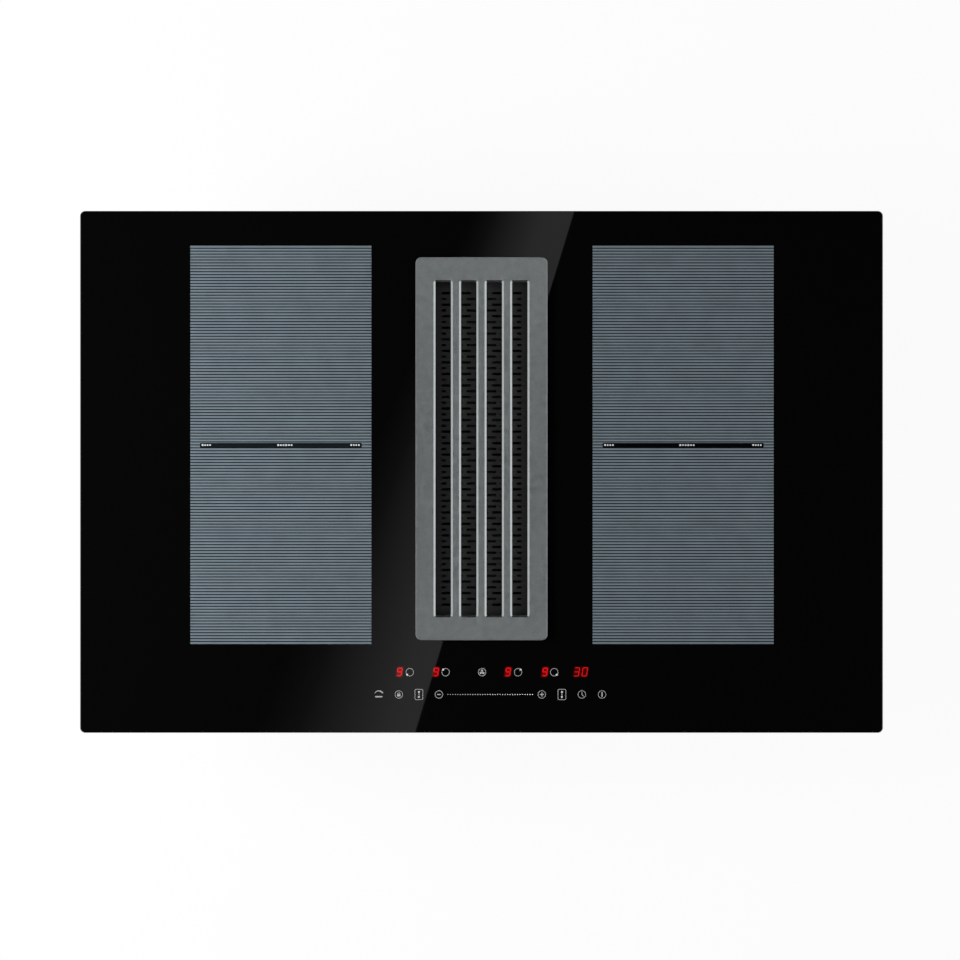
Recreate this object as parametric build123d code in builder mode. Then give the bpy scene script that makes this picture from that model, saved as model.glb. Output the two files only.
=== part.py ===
from build123d import *
import os
from math import cos, radians, sin

# A range hood of the worktop kind: an induction hob of black glass ceramic with a downdraft
# extractor hung under it, which draws air in through the grille in the middle of the glass.
# Millimetres. +Z is up and the controls lie towards -Y. The origin is below the centre of the
# glass, on the plane of the extractor box's flat bottom.

os.makedirs("parts", exist_ok=True)

BOTTOM = (Align.CENTER, Align.CENTER, Align.MIN)
TOP = (Align.CENTER, Align.CENTER, Align.MAX)

# Glass plate
glass_width = 800
glass_depth = 520
glass_thickness = 4
glass_corner_radius = 5
glass_edge_bevel = 0.8

# Layers from the floor up to the glass
tub_height = 133.5
lid_thickness = 2.5
casing_depth = 62.5
sheet = 1.2  # steel sheet of the casing
bond_thickness = 1.5
casing_floor_z = tub_height + lid_thickness
casing_top_z = casing_floor_z + casing_depth
floor_top_z = casing_floor_z + sheet
glass_z = casing_top_z + bond_thickness
glass_top_z = glass_z + glass_thickness

# Casing of the hob
casing_width = 744
casing_length = 484
casing_corner_radius = 10
casing_flange = 12
fold_gap = 0.1  # at each fold, because floor, sides and flange are modelled as flat sheets
corner_seam = 0.4
corner_seam_length = 32
corner_seam_inset = 9  # seam's middle in from the casing's corner, both ways
corner_seam_x = casing_width / 2 - corner_seam_inset
corner_seam_y = casing_length / 2 - corner_seam_inset
bond_width = 10

# Gasket between glass and worktop
gasket_thickness = 2.5
gasket_width = 8
gasket_inset = 1

# Inlet: the cut-out in the glass and what stands in it, all about one centre
inlet_y = 23
cutout_width = 116
cutout_length = 366
cutout_corner_radius = 8
rest_gap = 0.3  # between loose pieces that rest on each other
collar_gap = 1.5  # collar wall to glass
collar_wall = 1.5
collar_lip = 6  # how far the collar's flange lies over the glass wall line
collar_flange_thickness = 1
collar_depth = 10  # below the underside of the glass
shaft_gap = 0.5  # collar wall to air shaft
shaft_wall = 2
shaft_foot = 8
shaft_foot_thickness = 2
shaft_head = 4
shaft_screw_pitch = 220

collar_outer_width = cutout_width - 2 * collar_gap
collar_outer_length = cutout_length - 2 * collar_gap
collar_inner_width = collar_outer_width - 2 * collar_wall
collar_inner_length = collar_outer_length - 2 * collar_wall
collar_radius = cutout_corner_radius - collar_gap
shaft_inner_width = collar_outer_width + 2 * shaft_gap
shaft_inner_length = collar_outer_length + 2 * shaft_gap
shaft_radius = cutout_corner_radius
collar_top_z = glass_top_z + collar_flange_thickness

# Grille
grille_width = 131
grille_length = 381
grille_thickness = 4
grille_corner_radius = 6
grille_edge_round = 0.4
slot_count = 4
slot_pitch = 25.4
slot_width = 15.4
slot_length = 331.4
slot_bevel_width = 1.9
slot_bevel_depth = 1.3
slot_end_radius = 0.8
skirt_gap = 1.5
skirt_wall = 2.5
skirt_depth = 4
pad_thickness = 0.8
pad_length = 20
pad_width = 5
pad_row_pitch = 150
grille_z = collar_top_z + rest_gap + pad_thickness

# Drip tray and grease filter, which stack in the shaft
stack_gap = 1  # side play in the collar
tray_height = 25.7
tray_wall = 1.5
tray_seat = 6  # margin of the lid that the tray rests on
chimney_width = 70
chimney_length = 220
chimney_height = 16
chimney_radius = 12
stack_width = collar_inner_width - 2 * stack_gap
stack_length = collar_inner_length - 2 * stack_gap
stack_radius = collar_radius - collar_wall
tray_z = casing_floor_z + rest_gap
tray_rim_z = tray_z + tray_height

filter_headroom = 12.3  # from the filter's top edge to the grille
filter_wall = 1.5
filter_lip = 5
filter_panel_thickness = 1
filter_panel_sink = 0.5  # panel's top below the frame's top edge
panel_gap = 0.3
row_count = 55
row_pitch = 5.77
hole_pitch = 16.75
hole_length = 13.15
hole_width = 2.5
mesh_layers = 3
mesh_layer_thickness = 1.2
mesh_layer_pitch = 5
mesh_columns = 5
mesh_rows = 17
mesh_hole = 14
mesh_row_pitch = 20
mesh_column_pitch = 19
pull_wire_radius = 1.25
pull_width = 32
pull_rise = 7
pull_inset = 6  # wire centre from the panel's end
filter_z = tray_rim_z + rest_gap
filter_top_z = grille_z - filter_headroom
filter_height = filter_top_z - filter_z
panel_top_z = filter_top_z - filter_panel_sink
panel_width = stack_width - 2 * filter_wall - 2 * panel_gap
panel_length = stack_length - 2 * filter_wall - 2 * panel_gap

# Duct outlet at the back, a flat channel
duct_width = 222
duct_height = 89
duct_wall = 2
duct_corner_radius = 10
duct_rise = 2.5  # spigot's flange above the tub's bottom plane
spigot_length = 22
spigot_flange = 13
spigot_flange_thickness = 3
spigot_screw_pitch = 52
flap_seat = 6  # width of the seat that the closed flap rests on
duct_inner_width = duct_width - 2 * duct_wall
duct_inner_height = duct_height - 2 * duct_wall
duct_inner_radius = duct_corner_radius - duct_wall
duct_z = duct_rise + spigot_flange + duct_height / 2

# Impeller and the scroll round it
impeller_y = 10
impeller_radius = 95
blade_inner_radius = 74
blade_count = 36
blade_thickness = 1.2
blade_camber = 3.5
blade_tip_inset = 1
ring_overlap = 1
shroud_ring_height = 3
backplate = 2.5
dome_wall = 2
hub_radius = 10
hub_height = 10
tongue_gap = 5
tongue_angle = 65
scroll_growth = 13  # added to the radius each quarter turn
scroll_wall = 2
scroll_half = scroll_growth / 2
scroll_start_radius = impeller_radius + tongue_gap
scroll_end_radius = scroll_start_radius + 3 * scroll_growth
impeller_x = duct_inner_width / 2 - scroll_half - scroll_end_radius
scroll_left_x = impeller_x - scroll_half - scroll_start_radius - scroll_growth - scroll_wall

# Extractor box, wide enough for the scroll
tub_side_gap = 9.5  # scroll to the tub's wall
tub_length = 390
tub_wall = 2.5
tub_corner_radius = 14
tub_edge_round = 4
tub_flange = 12
tub_flange_thickness = 2.5
tub_screw_row_pitch = 150
tub_screw_end_pitch = 240
lid_opening_radius = 8
tub_inner_width = 2 * (tub_side_gap - scroll_left_x)
tub_width = tub_inner_width + 2 * tub_wall
tub_inner_length = tub_length - 2 * tub_wall
tub_rear_y = inlet_y + tub_length / 2
tub_inner_rear_y = tub_rear_y - tub_wall
spigot_face_y = tub_rear_y + spigot_flange_thickness

# Motor under the impeller's dome, and the nozzle plate over the impeller
motor_radius = 45
motor_height = 44
motor_foot_radius = 60
motor_foot_thickness = 3
motor_edge_round = 3
motor_shaft_gap = 6  # from the tub's floor to the shaft's lower end
motor_screw_count = 4
shaft_pin_radius = 4
shaft_clearance = 0.05
backplate_gap = 8.5  # motor foot to back plate
dome_side_gap = 5
dome_top_gap = 11.5
nozzle_plate_thickness = 2
nozzle_plate_z = 106
nozzle_mouth_round = 6
nozzle_lip = 9
nozzle_lip_gap = 5
impeller_top_gap = 7
dome_radius = motor_radius + dome_side_gap + dome_wall
dome_top_z = tub_wall + motor_height + dome_top_gap + dome_wall
impeller_z = tub_wall + motor_foot_thickness + backplate_gap
impeller_height = nozzle_plate_z - impeller_top_gap - impeller_z
nozzle_radius = blade_inner_radius - ring_overlap - nozzle_lip_gap - nozzle_plate_thickness
nozzle_top_z = nozzle_plate_z + nozzle_plate_thickness

# Backdraft flap
flap_thickness = 1.6
flap_side_gap = 2
flap_rest_gap = 0.3
flap_pin_radius = 1.5
flap_pin_clearance = 0.05
flap_sleeve_wall = 0.9
flap_sleeve_gap = 0.6

# Overflow cup, pushed up into the bottom of the tub
cup_inset = 52  # from the tub's front right corner
cup_radius = 30.7
cup_wall = 1.7
cup_height = 29
cup_base = 11
cup_flange_radius = 35
cup_flange_thickness = 2.8
cup_grip_width = 7
cup_grip_depth = 8
cup_fit = 0.3
cup_recess_depth = 4
cup_recess_gap = 1
cup_lift = 0.8  # cup's flange above the tub's bottom plane
cup_collar_wall = 3
cup_collar_height = 32
drain_radius = 9
drain_wall = 1.5
drain_gap = 4  # drain pipe's end above the cup's rim
cup_x = tub_width / 2 - cup_inset
cup_y = inlet_y - tub_length / 2 + cup_inset
cup_rim_z = cup_lift + cup_height

# Induction coils: a front and a rear coil under each printed zone
zone_x = 200.5
zone_y = 27
zone_width = 181
zone_length = 397
coil_margin = 3
coil_gap = 5
coil_thickness = 4.5
coil_corner_radius = 34
coil_eye_width = 52
coil_eye_length = 66
coil_eye_radius = 16
mica_thickness = 0.6
mica_gap = 0.2
ferrite_thickness = 5
ferrite_width = 14
ferrite_length = 62
ferrite_columns = 2
ferrite_rows = 4
ferrite_pitch_x = 88
ferrite_pitch_y = 44
carrier_thickness = 1.5
carrier_rim = 6
sensor_radius = 7
sensor_gap = 0.3
spring_radius = 5
spring_wall = 1.2
spring_height = 10
bridge_width = 14
bridge_leg = 1.5
bridge_spread = 172
bridge_foot = 10
bridge_rows = 3
bridge_row_pitch = 180
mica_top_z = glass_z - mica_gap
coil_top_z = mica_top_z - mica_thickness
coil_z = coil_top_z - coil_thickness
carrier_top_z = coil_z - ferrite_thickness
carrier_z = carrier_top_z - carrier_thickness
bridge_top_z = carrier_z - spring_height
coil_width = zone_width - 2 * coil_margin
coil_length = (zone_length - 2 * coil_margin - coil_gap) / 2
coil_pitch = coil_length + coil_gap

# Power electronics
board_width = 150
board_length = 150
board_thickness = 1.6
board_y = 110
standoff_height = 5
standoff_radius = 4
standoff_inset = 7
sink_width = 48
sink_length = 128
sink_height = 24
sink_base = 4
sink_fins = 9
sink_fin_thickness = 1.5
sink_offset_x = 38
components_x = 19  # outwards from the board's centre
capacitor_radius = 11
capacitor_height = 24
capacitor_y = 50
capacitor_pitch = 28
film_width = 32
film_length = 16
film_height = 22
film_pitch = 24
choke_radius = 15
choke_hole_radius = 6
choke_height = 14
choke_y = -48
board_z = floor_top_z + standoff_height
board_top_z = board_z + board_thickness

# Cooling fans over slots in the casing's floor
fan_x = 228
fan_y = -62
fan_size = 80
fan_height = 20
fan_corner_radius = 5
fan_bore_radius = 37.5
fan_hub_radius = 15
fan_hub_height = 14
fan_blade_count = 7
fan_blade_chord = 16
fan_blade_thickness = 1.6
fan_blade_angle = 35
fan_tip_gap = 2
fan_base_height = 2.5
fan_rotor_gap = 1
fan_strut_count = 3
fan_strut_width = 4
fan_strut_overlap = 1  # strut ends and blade roots run this far into what they join
fan_pin_radius = 1.5
fan_pin_clearance = 0.06
louvre_count = 9
louvre_pitch = 8
louvre_width = 4
louvre_length = 64
vent_count = 17
vent_pitch = 14
vent_width = 5
vent_height = 26
vent_z = 30  # centre of the wall vents above the casing's floor

# Touch control under the front of the glass
control_x = 9
control_y = -211
control_width = 272
control_length = 44
control_thickness = 1.6
control_depth = 9  # from the glass down to the board's top
bracket_wall = 2
bracket_leg = 10
display_y = -199.1
display_xs = (-81.7, -45.3, 26.4, 63.2)
timer_x = 98.8
display_width = 10
timer_width = 19
display_length = 14
display_gap = 0.4
upper_key_xs = (-71.5, -35.7, 0.5, 36.4, 72.4)
upper_key_y = -199.6
lower_key_xs = (-102.3, -82.4, -62.5, -42.4, -25, -8, 9, 26, 43, 60.1, 80.1, 100, 120.1)
lower_key_y = -221.8
key_spring_radius = 3
key_spring_wall = 0.8
key_spring_gap = 0.1
control_top_z = glass_z - control_depth
control_board_z = control_top_z - control_thickness

# Mains connection
gland_x = -262
gland_y = 202
gland_bore_radius = 6.5
gland_thread_radius = 10
gland_hole_clearance = 0.2
gland_hex_width = 26
gland_hex_height = 6
gland_dome_radius = 11.5
gland_dome_height = 14
gland_nut_height = 5
terminal_x = -316
terminal_width = 24
terminal_length = 54
terminal_height = 20
terminal_hole_depth = 10
terminal_ways = 5

# Worktop clamps
clamp_x = 386
clamp_y = 150
clamp_width = 24
clamp_thickness = 2
clamp_base = 32  # how far the bracket reaches in under the casing
clamp_outer = 10  # bracket beyond the screw's axis
clamp_screw_radius = 2.5
clamp_screw_clearance = 0.06
clamp_nut_radius = 5
clamp_nut_height = 4
clamp_head_radius = 5.5
clamp_head_height = 5
clamp_drop = 34  # screw head below the bracket at rest
clamp_foot_radius = 8
clamp_foot_height = 6
clamp_foot_lift = 6  # foot above the casing's floor plane at rest
clamp_foot_floor = 2

# Pan head screws
screw_radius = 1.75
screw_clearance = 0.1
screw_head_radius = 3.8
screw_head_height = 2.4
screw_length = 8
motor_screw_length = 4.5
screw_pocket = 2  # depth of the blind holes in the tub's floor
screw_recess = 1
screw_recess_width = 0.9
screw_recess_length = 4.4
bracket_screw_pitch = 14
bracket_screw_inset = 9

screw_hole = screw_radius + screw_clearance


def rounded_ring(width, length, radius, band, inner_radius):
    """Adds a rounded rectangular ring to the sketch that is open."""
    RectangleRounded(width, length, radius)
    RectangleRounded(width - 2 * band, length - 2 * band, inner_radius, mode=Mode.SUBTRACT)


def pan_head_screw(length):
    """Adds a screw whose shank points up, with a cross cut in its head."""
    Cylinder(screw_head_radius, screw_head_height, align=TOP)
    Cylinder(screw_radius, length, align=BOTTOM)
    with Locations((0, 0, -screw_head_height)):
        Box(
            screw_recess_length, screw_recess_width, screw_recess,
            align=BOTTOM, mode=Mode.SUBTRACT,
        )
        Box(
            screw_recess_width, screw_recess_length, screw_recess,
            align=BOTTOM, mode=Mode.SUBTRACT,
        )


def at_inlet(z):
    """A plane at that height, centred on the inlet."""
    return Plane(origin=(0, inlet_y, z))


def facing_back(x, y, z):
    """An upright plane whose local y is up. A negative amount extrudes towards the back."""
    return Plane(origin=(x, y, z), x_dir=(1, 0, 0), z_dir=(0, -1, 0))


# Screw positions. The tub's flange screws go up through the lid into the casing's floor.
flange_line_x = tub_width / 2 + tub_flange / 2
flange_line_y = tub_length / 2 + tub_flange / 2
side_screws = [
    (side * flange_line_x, inlet_y + row * tub_screw_row_pitch)
    for side in (-1, 1)
    for row in (-1, 0, 1)
]
end_screws = [
    (side * tub_screw_end_pitch / 2, inlet_y + end * flange_line_y)
    for end in (-1, 1)
    for side in (-1, 1)
]
tub_screws = side_screws + end_screws

shaft_line_x = shaft_inner_width / 2 + shaft_wall + shaft_foot / 2
shaft_screws = [
    (side * shaft_line_x, inlet_y + end * shaft_screw_pitch / 2)
    for side in (-1, 1)
    for end in (-1, 1)
]

clamp_places = [(sx, sy) for sx in (-1, 1) for sy in (-1, 1)]
bracket_line_x = casing_width / 2 - clamp_base + bracket_screw_inset
clamp_screw_points = [
    (sx * bracket_line_x, sy * clamp_y + y)
    for sx, sy in clamp_places
    for y in (-bracket_screw_pitch / 2, bracket_screw_pitch / 2)
]

spigot_line_x = duct_width / 2 + spigot_flange / 2
spigot_screws = [
    (side * spigot_line_x, end * spigot_screw_pitch / 2) for side in (-1, 1) for end in (-1, 1)
]

# Glass top: one plate, bevelled all round its upper edge
with BuildPart() as glass_top:
    with BuildSketch(Plane.XY.offset(glass_z)):
        RectangleRounded(glass_width, glass_depth, glass_corner_radius)
        with Locations((0, inlet_y)):
            RectangleRounded(cutout_width, cutout_length, cutout_corner_radius, mode=Mode.SUBTRACT)
    extrude(amount=glass_thickness)
    upper_rim = glass_top.faces().sort_by(Axis.Z)[-1].outer_wire().edges()
    chamfer(upper_rim, glass_edge_bevel)
glass_top.part.label = "glass_top"
export_step(glass_top.part, "parts/glass_top.step")

# Worktop gasket: foam strip under the rim of the glass
with BuildPart() as worktop_gasket:
    with BuildSketch(Plane.XY.offset(glass_z - gasket_thickness)):
        rounded_ring(
            glass_width - 2 * gasket_inset,
            glass_depth - 2 * gasket_inset,
            glass_corner_radius - gasket_inset,
            gasket_width,
            glass_corner_radius - gasket_inset,
        )
    extrude(amount=gasket_thickness)
worktop_gasket.part.label = "worktop_gasket"
export_step(worktop_gasket.part, "parts/worktop_gasket.step")

# Glass bond: silicone bead that holds the glass on the casing's flange
with BuildPart() as glass_bond:
    with BuildSketch(Plane.XY.offset(casing_top_z)):
        rounded_ring(
            casing_width, casing_length, casing_corner_radius, bond_width, casing_corner_radius
        )
    extrude(amount=bond_thickness)
glass_bond.part.label = "glass_bond"
export_step(glass_bond.part, "parts/glass_bond.step")

# Hob casing: floor sheet with air slots and standoffs, and sides that fold up round it and then
# in to a flange, open at the corners
with BuildPart() as hob_casing:
    with BuildSketch(Plane.XY.offset(casing_floor_z)):
        RectangleRounded(casing_width, casing_length, casing_corner_radius)
        with Locations((0, inlet_y)):
            RectangleRounded(
                shaft_inner_width, shaft_inner_length, shaft_radius, mode=Mode.SUBTRACT
            )
        with Locations((-fan_x, fan_y), (fan_x, fan_y)):
            with GridLocations(0, louvre_pitch, 1, louvre_count):
                SlotOverall(louvre_length, louvre_width, mode=Mode.SUBTRACT)
        with Locations(*tub_screws, *shaft_screws, *clamp_screw_points):
            Circle(screw_hole, mode=Mode.SUBTRACT)
        with Locations((gland_x, gland_y)):
            Circle(gland_thread_radius + gland_hole_clearance, mode=Mode.SUBTRACT)
    extrude(amount=sheet)
    with Locations((-zone_x, board_y, floor_top_z), (zone_x, board_y, floor_top_z)):
        with GridLocations(
            board_width - 2 * standoff_inset, board_length - 2 * standoff_inset, 2, 2
        ):
            Cylinder(standoff_radius, standoff_height, align=BOTTOM)
    with BuildSketch(Plane.XY.offset(floor_top_z + fold_gap)):
        rounded_ring(
            casing_width, casing_length, casing_corner_radius, sheet, casing_corner_radius - sheet
        )
    extrude(amount=casing_depth - 2 * (sheet + fold_gap))
    with BuildSketch(Plane.XY.offset(casing_top_z - sheet)):
        rounded_ring(
            casing_width, casing_length, casing_corner_radius, casing_flange, casing_corner_radius
        )
    extrude(amount=sheet)
    with BuildSketch(facing_back(0, -casing_length / 2, casing_floor_z + vent_z)):
        with GridLocations(vent_pitch, 0, vent_count, 1):
            SlotOverall(vent_height, vent_width, rotation=90)
    extrude(amount=-casing_length, mode=Mode.SUBTRACT)
    with BuildSketch(Plane.XY.offset(floor_top_z + fold_gap)):
        for side in (-1, 1):
            with Locations(
                (side * corner_seam_x, corner_seam_y), (-side * corner_seam_x, -corner_seam_y)
            ):
                Rectangle(corner_seam_length, corner_seam, rotation=45 * side)
    extrude(amount=casing_depth - sheet - fold_gap, mode=Mode.SUBTRACT)
hob_casing.part.label = "hob_casing"
export_step(hob_casing.part, "parts/hob_casing.step")

# Inlet collar: lines the cut-out in the glass, with a flange that the grille stands on
with BuildPart() as inlet_collar:
    with BuildSketch(at_inlet(glass_z - collar_depth)):
        rounded_ring(
            collar_outer_width,
            collar_outer_length,
            collar_radius,
            collar_wall,
            collar_radius - collar_wall,
        )
    extrude(amount=collar_depth + glass_thickness)
    with BuildSketch(at_inlet(glass_top_z)):
        rounded_ring(
            collar_outer_width + 2 * collar_lip,
            collar_outer_length + 2 * collar_lip,
            collar_radius,
            collar_lip + collar_wall,
            collar_radius - collar_wall,
        )
    extrude(amount=collar_flange_thickness)
inlet_collar.part.label = "inlet_collar"
export_step(inlet_collar.part, "parts/inlet_collar.step")

# Shaft seal: foam ring between the glass and the head of the air shaft
with BuildPart() as shaft_seal:
    with BuildSketch(at_inlet(casing_top_z)):
        rounded_ring(
            shaft_inner_width + 2 * (shaft_wall + shaft_head),
            shaft_inner_length + 2 * (shaft_wall + shaft_head),
            shaft_radius + shaft_wall,
            shaft_wall + shaft_head,
            shaft_radius,
        )
    extrude(amount=bond_thickness)
shaft_seal.part.label = "shaft_seal"
export_step(shaft_seal.part, "parts/shaft_seal.step")

# Air shaft: duct through the casing from the glass to the extractor box
with BuildPart() as air_shaft:
    with BuildSketch(at_inlet(floor_top_z)):
        rounded_ring(
            shaft_inner_width + 2 * shaft_wall,
            shaft_inner_length + 2 * shaft_wall,
            shaft_radius + shaft_wall,
            shaft_wall,
            shaft_radius,
        )
    extrude(amount=casing_top_z - floor_top_z)
    with BuildSketch(at_inlet(casing_top_z - shaft_wall)):
        rounded_ring(
            shaft_inner_width + 2 * (shaft_wall + shaft_head),
            shaft_inner_length + 2 * (shaft_wall + shaft_head),
            shaft_radius + shaft_wall,
            shaft_wall + shaft_head,
            shaft_radius,
        )
    extrude(amount=shaft_wall)
    with BuildSketch(at_inlet(floor_top_z)):
        rounded_ring(
            shaft_inner_width + 2 * (shaft_wall + shaft_foot),
            shaft_inner_length + 2 * (shaft_wall + shaft_foot),
            shaft_radius + shaft_wall,
            shaft_wall + shaft_foot,
            shaft_radius,
        )
    extrude(amount=shaft_foot_thickness)
    with BuildSketch(Plane.XY.offset(floor_top_z)):
        with Locations(*shaft_screws):
            Circle(screw_hole)
    extrude(amount=shaft_foot_thickness, mode=Mode.SUBTRACT)
air_shaft.part.label = "air_shaft"
export_step(air_shaft.part, "parts/air_shaft.step")

# Inlet grille: cast plate with four bevelled slots and a locating skirt below
with BuildPart() as inlet_grille:
    with BuildSketch(at_inlet(grille_z)):
        RectangleRounded(grille_width, grille_length, grille_corner_radius)
    extrude(amount=grille_thickness)
    grille_rim = inlet_grille.faces().sort_by(Axis.Z)[-1].outer_wire().edges()
    fillet(grille_rim, grille_edge_round)
    with BuildSketch(at_inlet(grille_z - skirt_depth)):
        rounded_ring(
            collar_inner_width - 2 * skirt_gap,
            collar_inner_length - 2 * skirt_gap,
            collar_radius - collar_wall,
            skirt_wall,
            collar_radius - collar_wall - skirt_wall / 2,
        )
    extrude(amount=skirt_depth)
    with BuildSketch(at_inlet(grille_z)):
        with GridLocations(slot_pitch, 0, slot_count, 1):
            RectangleRounded(slot_width, slot_length, slot_end_radius)
    extrude(amount=grille_thickness, mode=Mode.SUBTRACT)
    slot_rims = [w.edges() for w in inlet_grille.faces().sort_by(Axis.Z)[-1].inner_wires()]
    top_face = inlet_grille.faces().sort_by(Axis.Z)[-1]
    chamfer(
        [edge for rim in slot_rims for edge in rim],
        slot_bevel_width,
        slot_bevel_depth,
        reference=top_face,
    )
inlet_grille.part.label = "inlet_grille"
export_step(inlet_grille.part, "parts/inlet_grille.step")

# Grille pads: silicone strips under the grille, where it stands on the collar
pad_line_x = collar_inner_width / 2 + (collar_wall + collar_lip) / 2
with BuildPart() as grille_pads:
    with BuildSketch(at_inlet(collar_top_z)):
        with GridLocations(2 * pad_line_x, pad_row_pitch, 2, 3):
            SlotOverall(pad_length, pad_width, rotation=90)
    extrude(amount=pad_thickness)
grille_pads.part.label = "grille_pads"
export_step(grille_pads.part, "parts/grille_pads.step")

# Filter panel: steel sheet with staggered slots, five to a row and then four with two halves
full_columns = 5
hole_field_width = (full_columns - 1) * hole_pitch + hole_length
half_hole = hole_length / 2 - (hole_pitch - hole_length) / 2
half_hole_x = hole_field_width / 2 - half_hole / 2
with BuildPart() as filter_panel:
    with BuildSketch(at_inlet(panel_top_z - filter_panel_thickness)):
        RectangleRounded(panel_width, panel_length, stack_radius - filter_wall)
        with GridLocations(hole_pitch, 2 * row_pitch, full_columns, (row_count + 1) // 2):
            SlotOverall(hole_length, hole_width, mode=Mode.SUBTRACT)
        with GridLocations(hole_pitch, 2 * row_pitch, full_columns - 1, row_count // 2):
            SlotOverall(hole_length, hole_width, mode=Mode.SUBTRACT)
        with GridLocations(2 * half_hole_x, 2 * row_pitch, 2, row_count // 2):
            SlotOverall(half_hole, hole_width, mode=Mode.SUBTRACT)
    extrude(amount=filter_panel_thickness)
filter_panel.part.label = "filter_panel"
export_step(filter_panel.part, "parts/filter_panel.step")

# Filter frame: a channel round the mesh, whose upper lip carries the panel
panel_seat_z = panel_top_z - filter_panel_thickness
with BuildPart() as filter_frame:
    with BuildSketch(at_inlet(filter_z)):
        rounded_ring(
            stack_width, stack_length, stack_radius, filter_wall, stack_radius - filter_wall
        )
    extrude(amount=filter_height)
    for lip_z in (filter_z, panel_seat_z - filter_wall):
        with BuildSketch(at_inlet(lip_z)):
            rounded_ring(
                stack_width,
                stack_length,
                stack_radius,
                filter_wall + filter_lip,
                stack_radius - filter_wall,
            )
        extrude(amount=filter_wall)
filter_frame.part.label = "filter_frame"
export_step(filter_frame.part, "parts/filter_frame.step")

# Filter mesh: layers of open mesh stacked on the frame's lower lip, held apart by their rims
mesh_z = filter_z + filter_wall
mesh_rim_height = mesh_layer_pitch - mesh_layer_thickness
with BuildPart() as filter_mesh:
    for layer in range(mesh_layers):
        with BuildSketch(at_inlet(mesh_z + layer * mesh_layer_pitch)):
            RectangleRounded(panel_width, panel_length, stack_radius - filter_wall)
            with GridLocations(mesh_column_pitch, mesh_row_pitch, mesh_columns, mesh_rows):
                Rectangle(mesh_hole, mesh_hole, mode=Mode.SUBTRACT)
        extrude(amount=mesh_layer_thickness)
        with BuildSketch(at_inlet(mesh_z + layer * mesh_layer_pitch + mesh_layer_thickness)):
            rounded_ring(
                panel_width,
                panel_length,
                stack_radius - filter_wall,
                filter_wall,
                stack_radius - filter_wall,
            )
        extrude(amount=mesh_rim_height)
filter_mesh.part.label = "filter_mesh"
export_step(filter_mesh.part, "parts/filter_mesh.step")

# Filter pulls: two wire loops spot welded to the ends of the panel
pull_y = panel_length / 2 - pull_inset
pull_top_z = panel_top_z + pull_rise
with BuildPart() as filter_pulls:
    for end in (-1, 1):
        loop_y = inlet_y + end * pull_y
        with BuildLine() as loop:
            FilletPolyline(
                (-pull_width / 2, loop_y, panel_top_z),
                (-pull_width / 2, loop_y, pull_top_z),
                (pull_width / 2, loop_y, pull_top_z),
                (pull_width / 2, loop_y, panel_top_z),
                radius=3 * pull_wire_radius,
            )
        with BuildSketch(Plane(origin=loop.line @ 0, z_dir=loop.line % 0)):
            Circle(pull_wire_radius)
        sweep(path=loop.line)
filter_pulls.part.label = "filter_pulls"
export_step(filter_pulls.part, "parts/filter_pulls.step")

# Drip tray: basin with a chimney in its middle that the air goes down through
with BuildPart() as drip_tray:
    with BuildSketch(at_inlet(tray_z)):
        RectangleRounded(stack_width, stack_length, stack_radius)
    extrude(amount=tray_height)
    with BuildSketch(at_inlet(tray_z + tray_wall)):
        RectangleRounded(
            stack_width - 2 * tray_wall, stack_length - 2 * tray_wall, stack_radius - tray_wall
        )
        RectangleRounded(
            chimney_width, chimney_length, chimney_radius, mode=Mode.SUBTRACT
        )
    extrude(amount=tray_height - tray_wall, mode=Mode.SUBTRACT)
    with BuildSketch(at_inlet(tray_z + tray_wall + chimney_height)):
        RectangleRounded(chimney_width, chimney_length, chimney_radius)
    extrude(amount=tray_height, mode=Mode.SUBTRACT)
    with BuildSketch(at_inlet(tray_z)):
        RectangleRounded(
            chimney_width - 2 * tray_wall,
            chimney_length - 2 * tray_wall,
            chimney_radius - tray_wall,
        )
    extrude(amount=tray_height, mode=Mode.SUBTRACT)
drip_tray.part.label = "drip_tray"
export_step(drip_tray.part, "parts/drip_tray.step")

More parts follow.
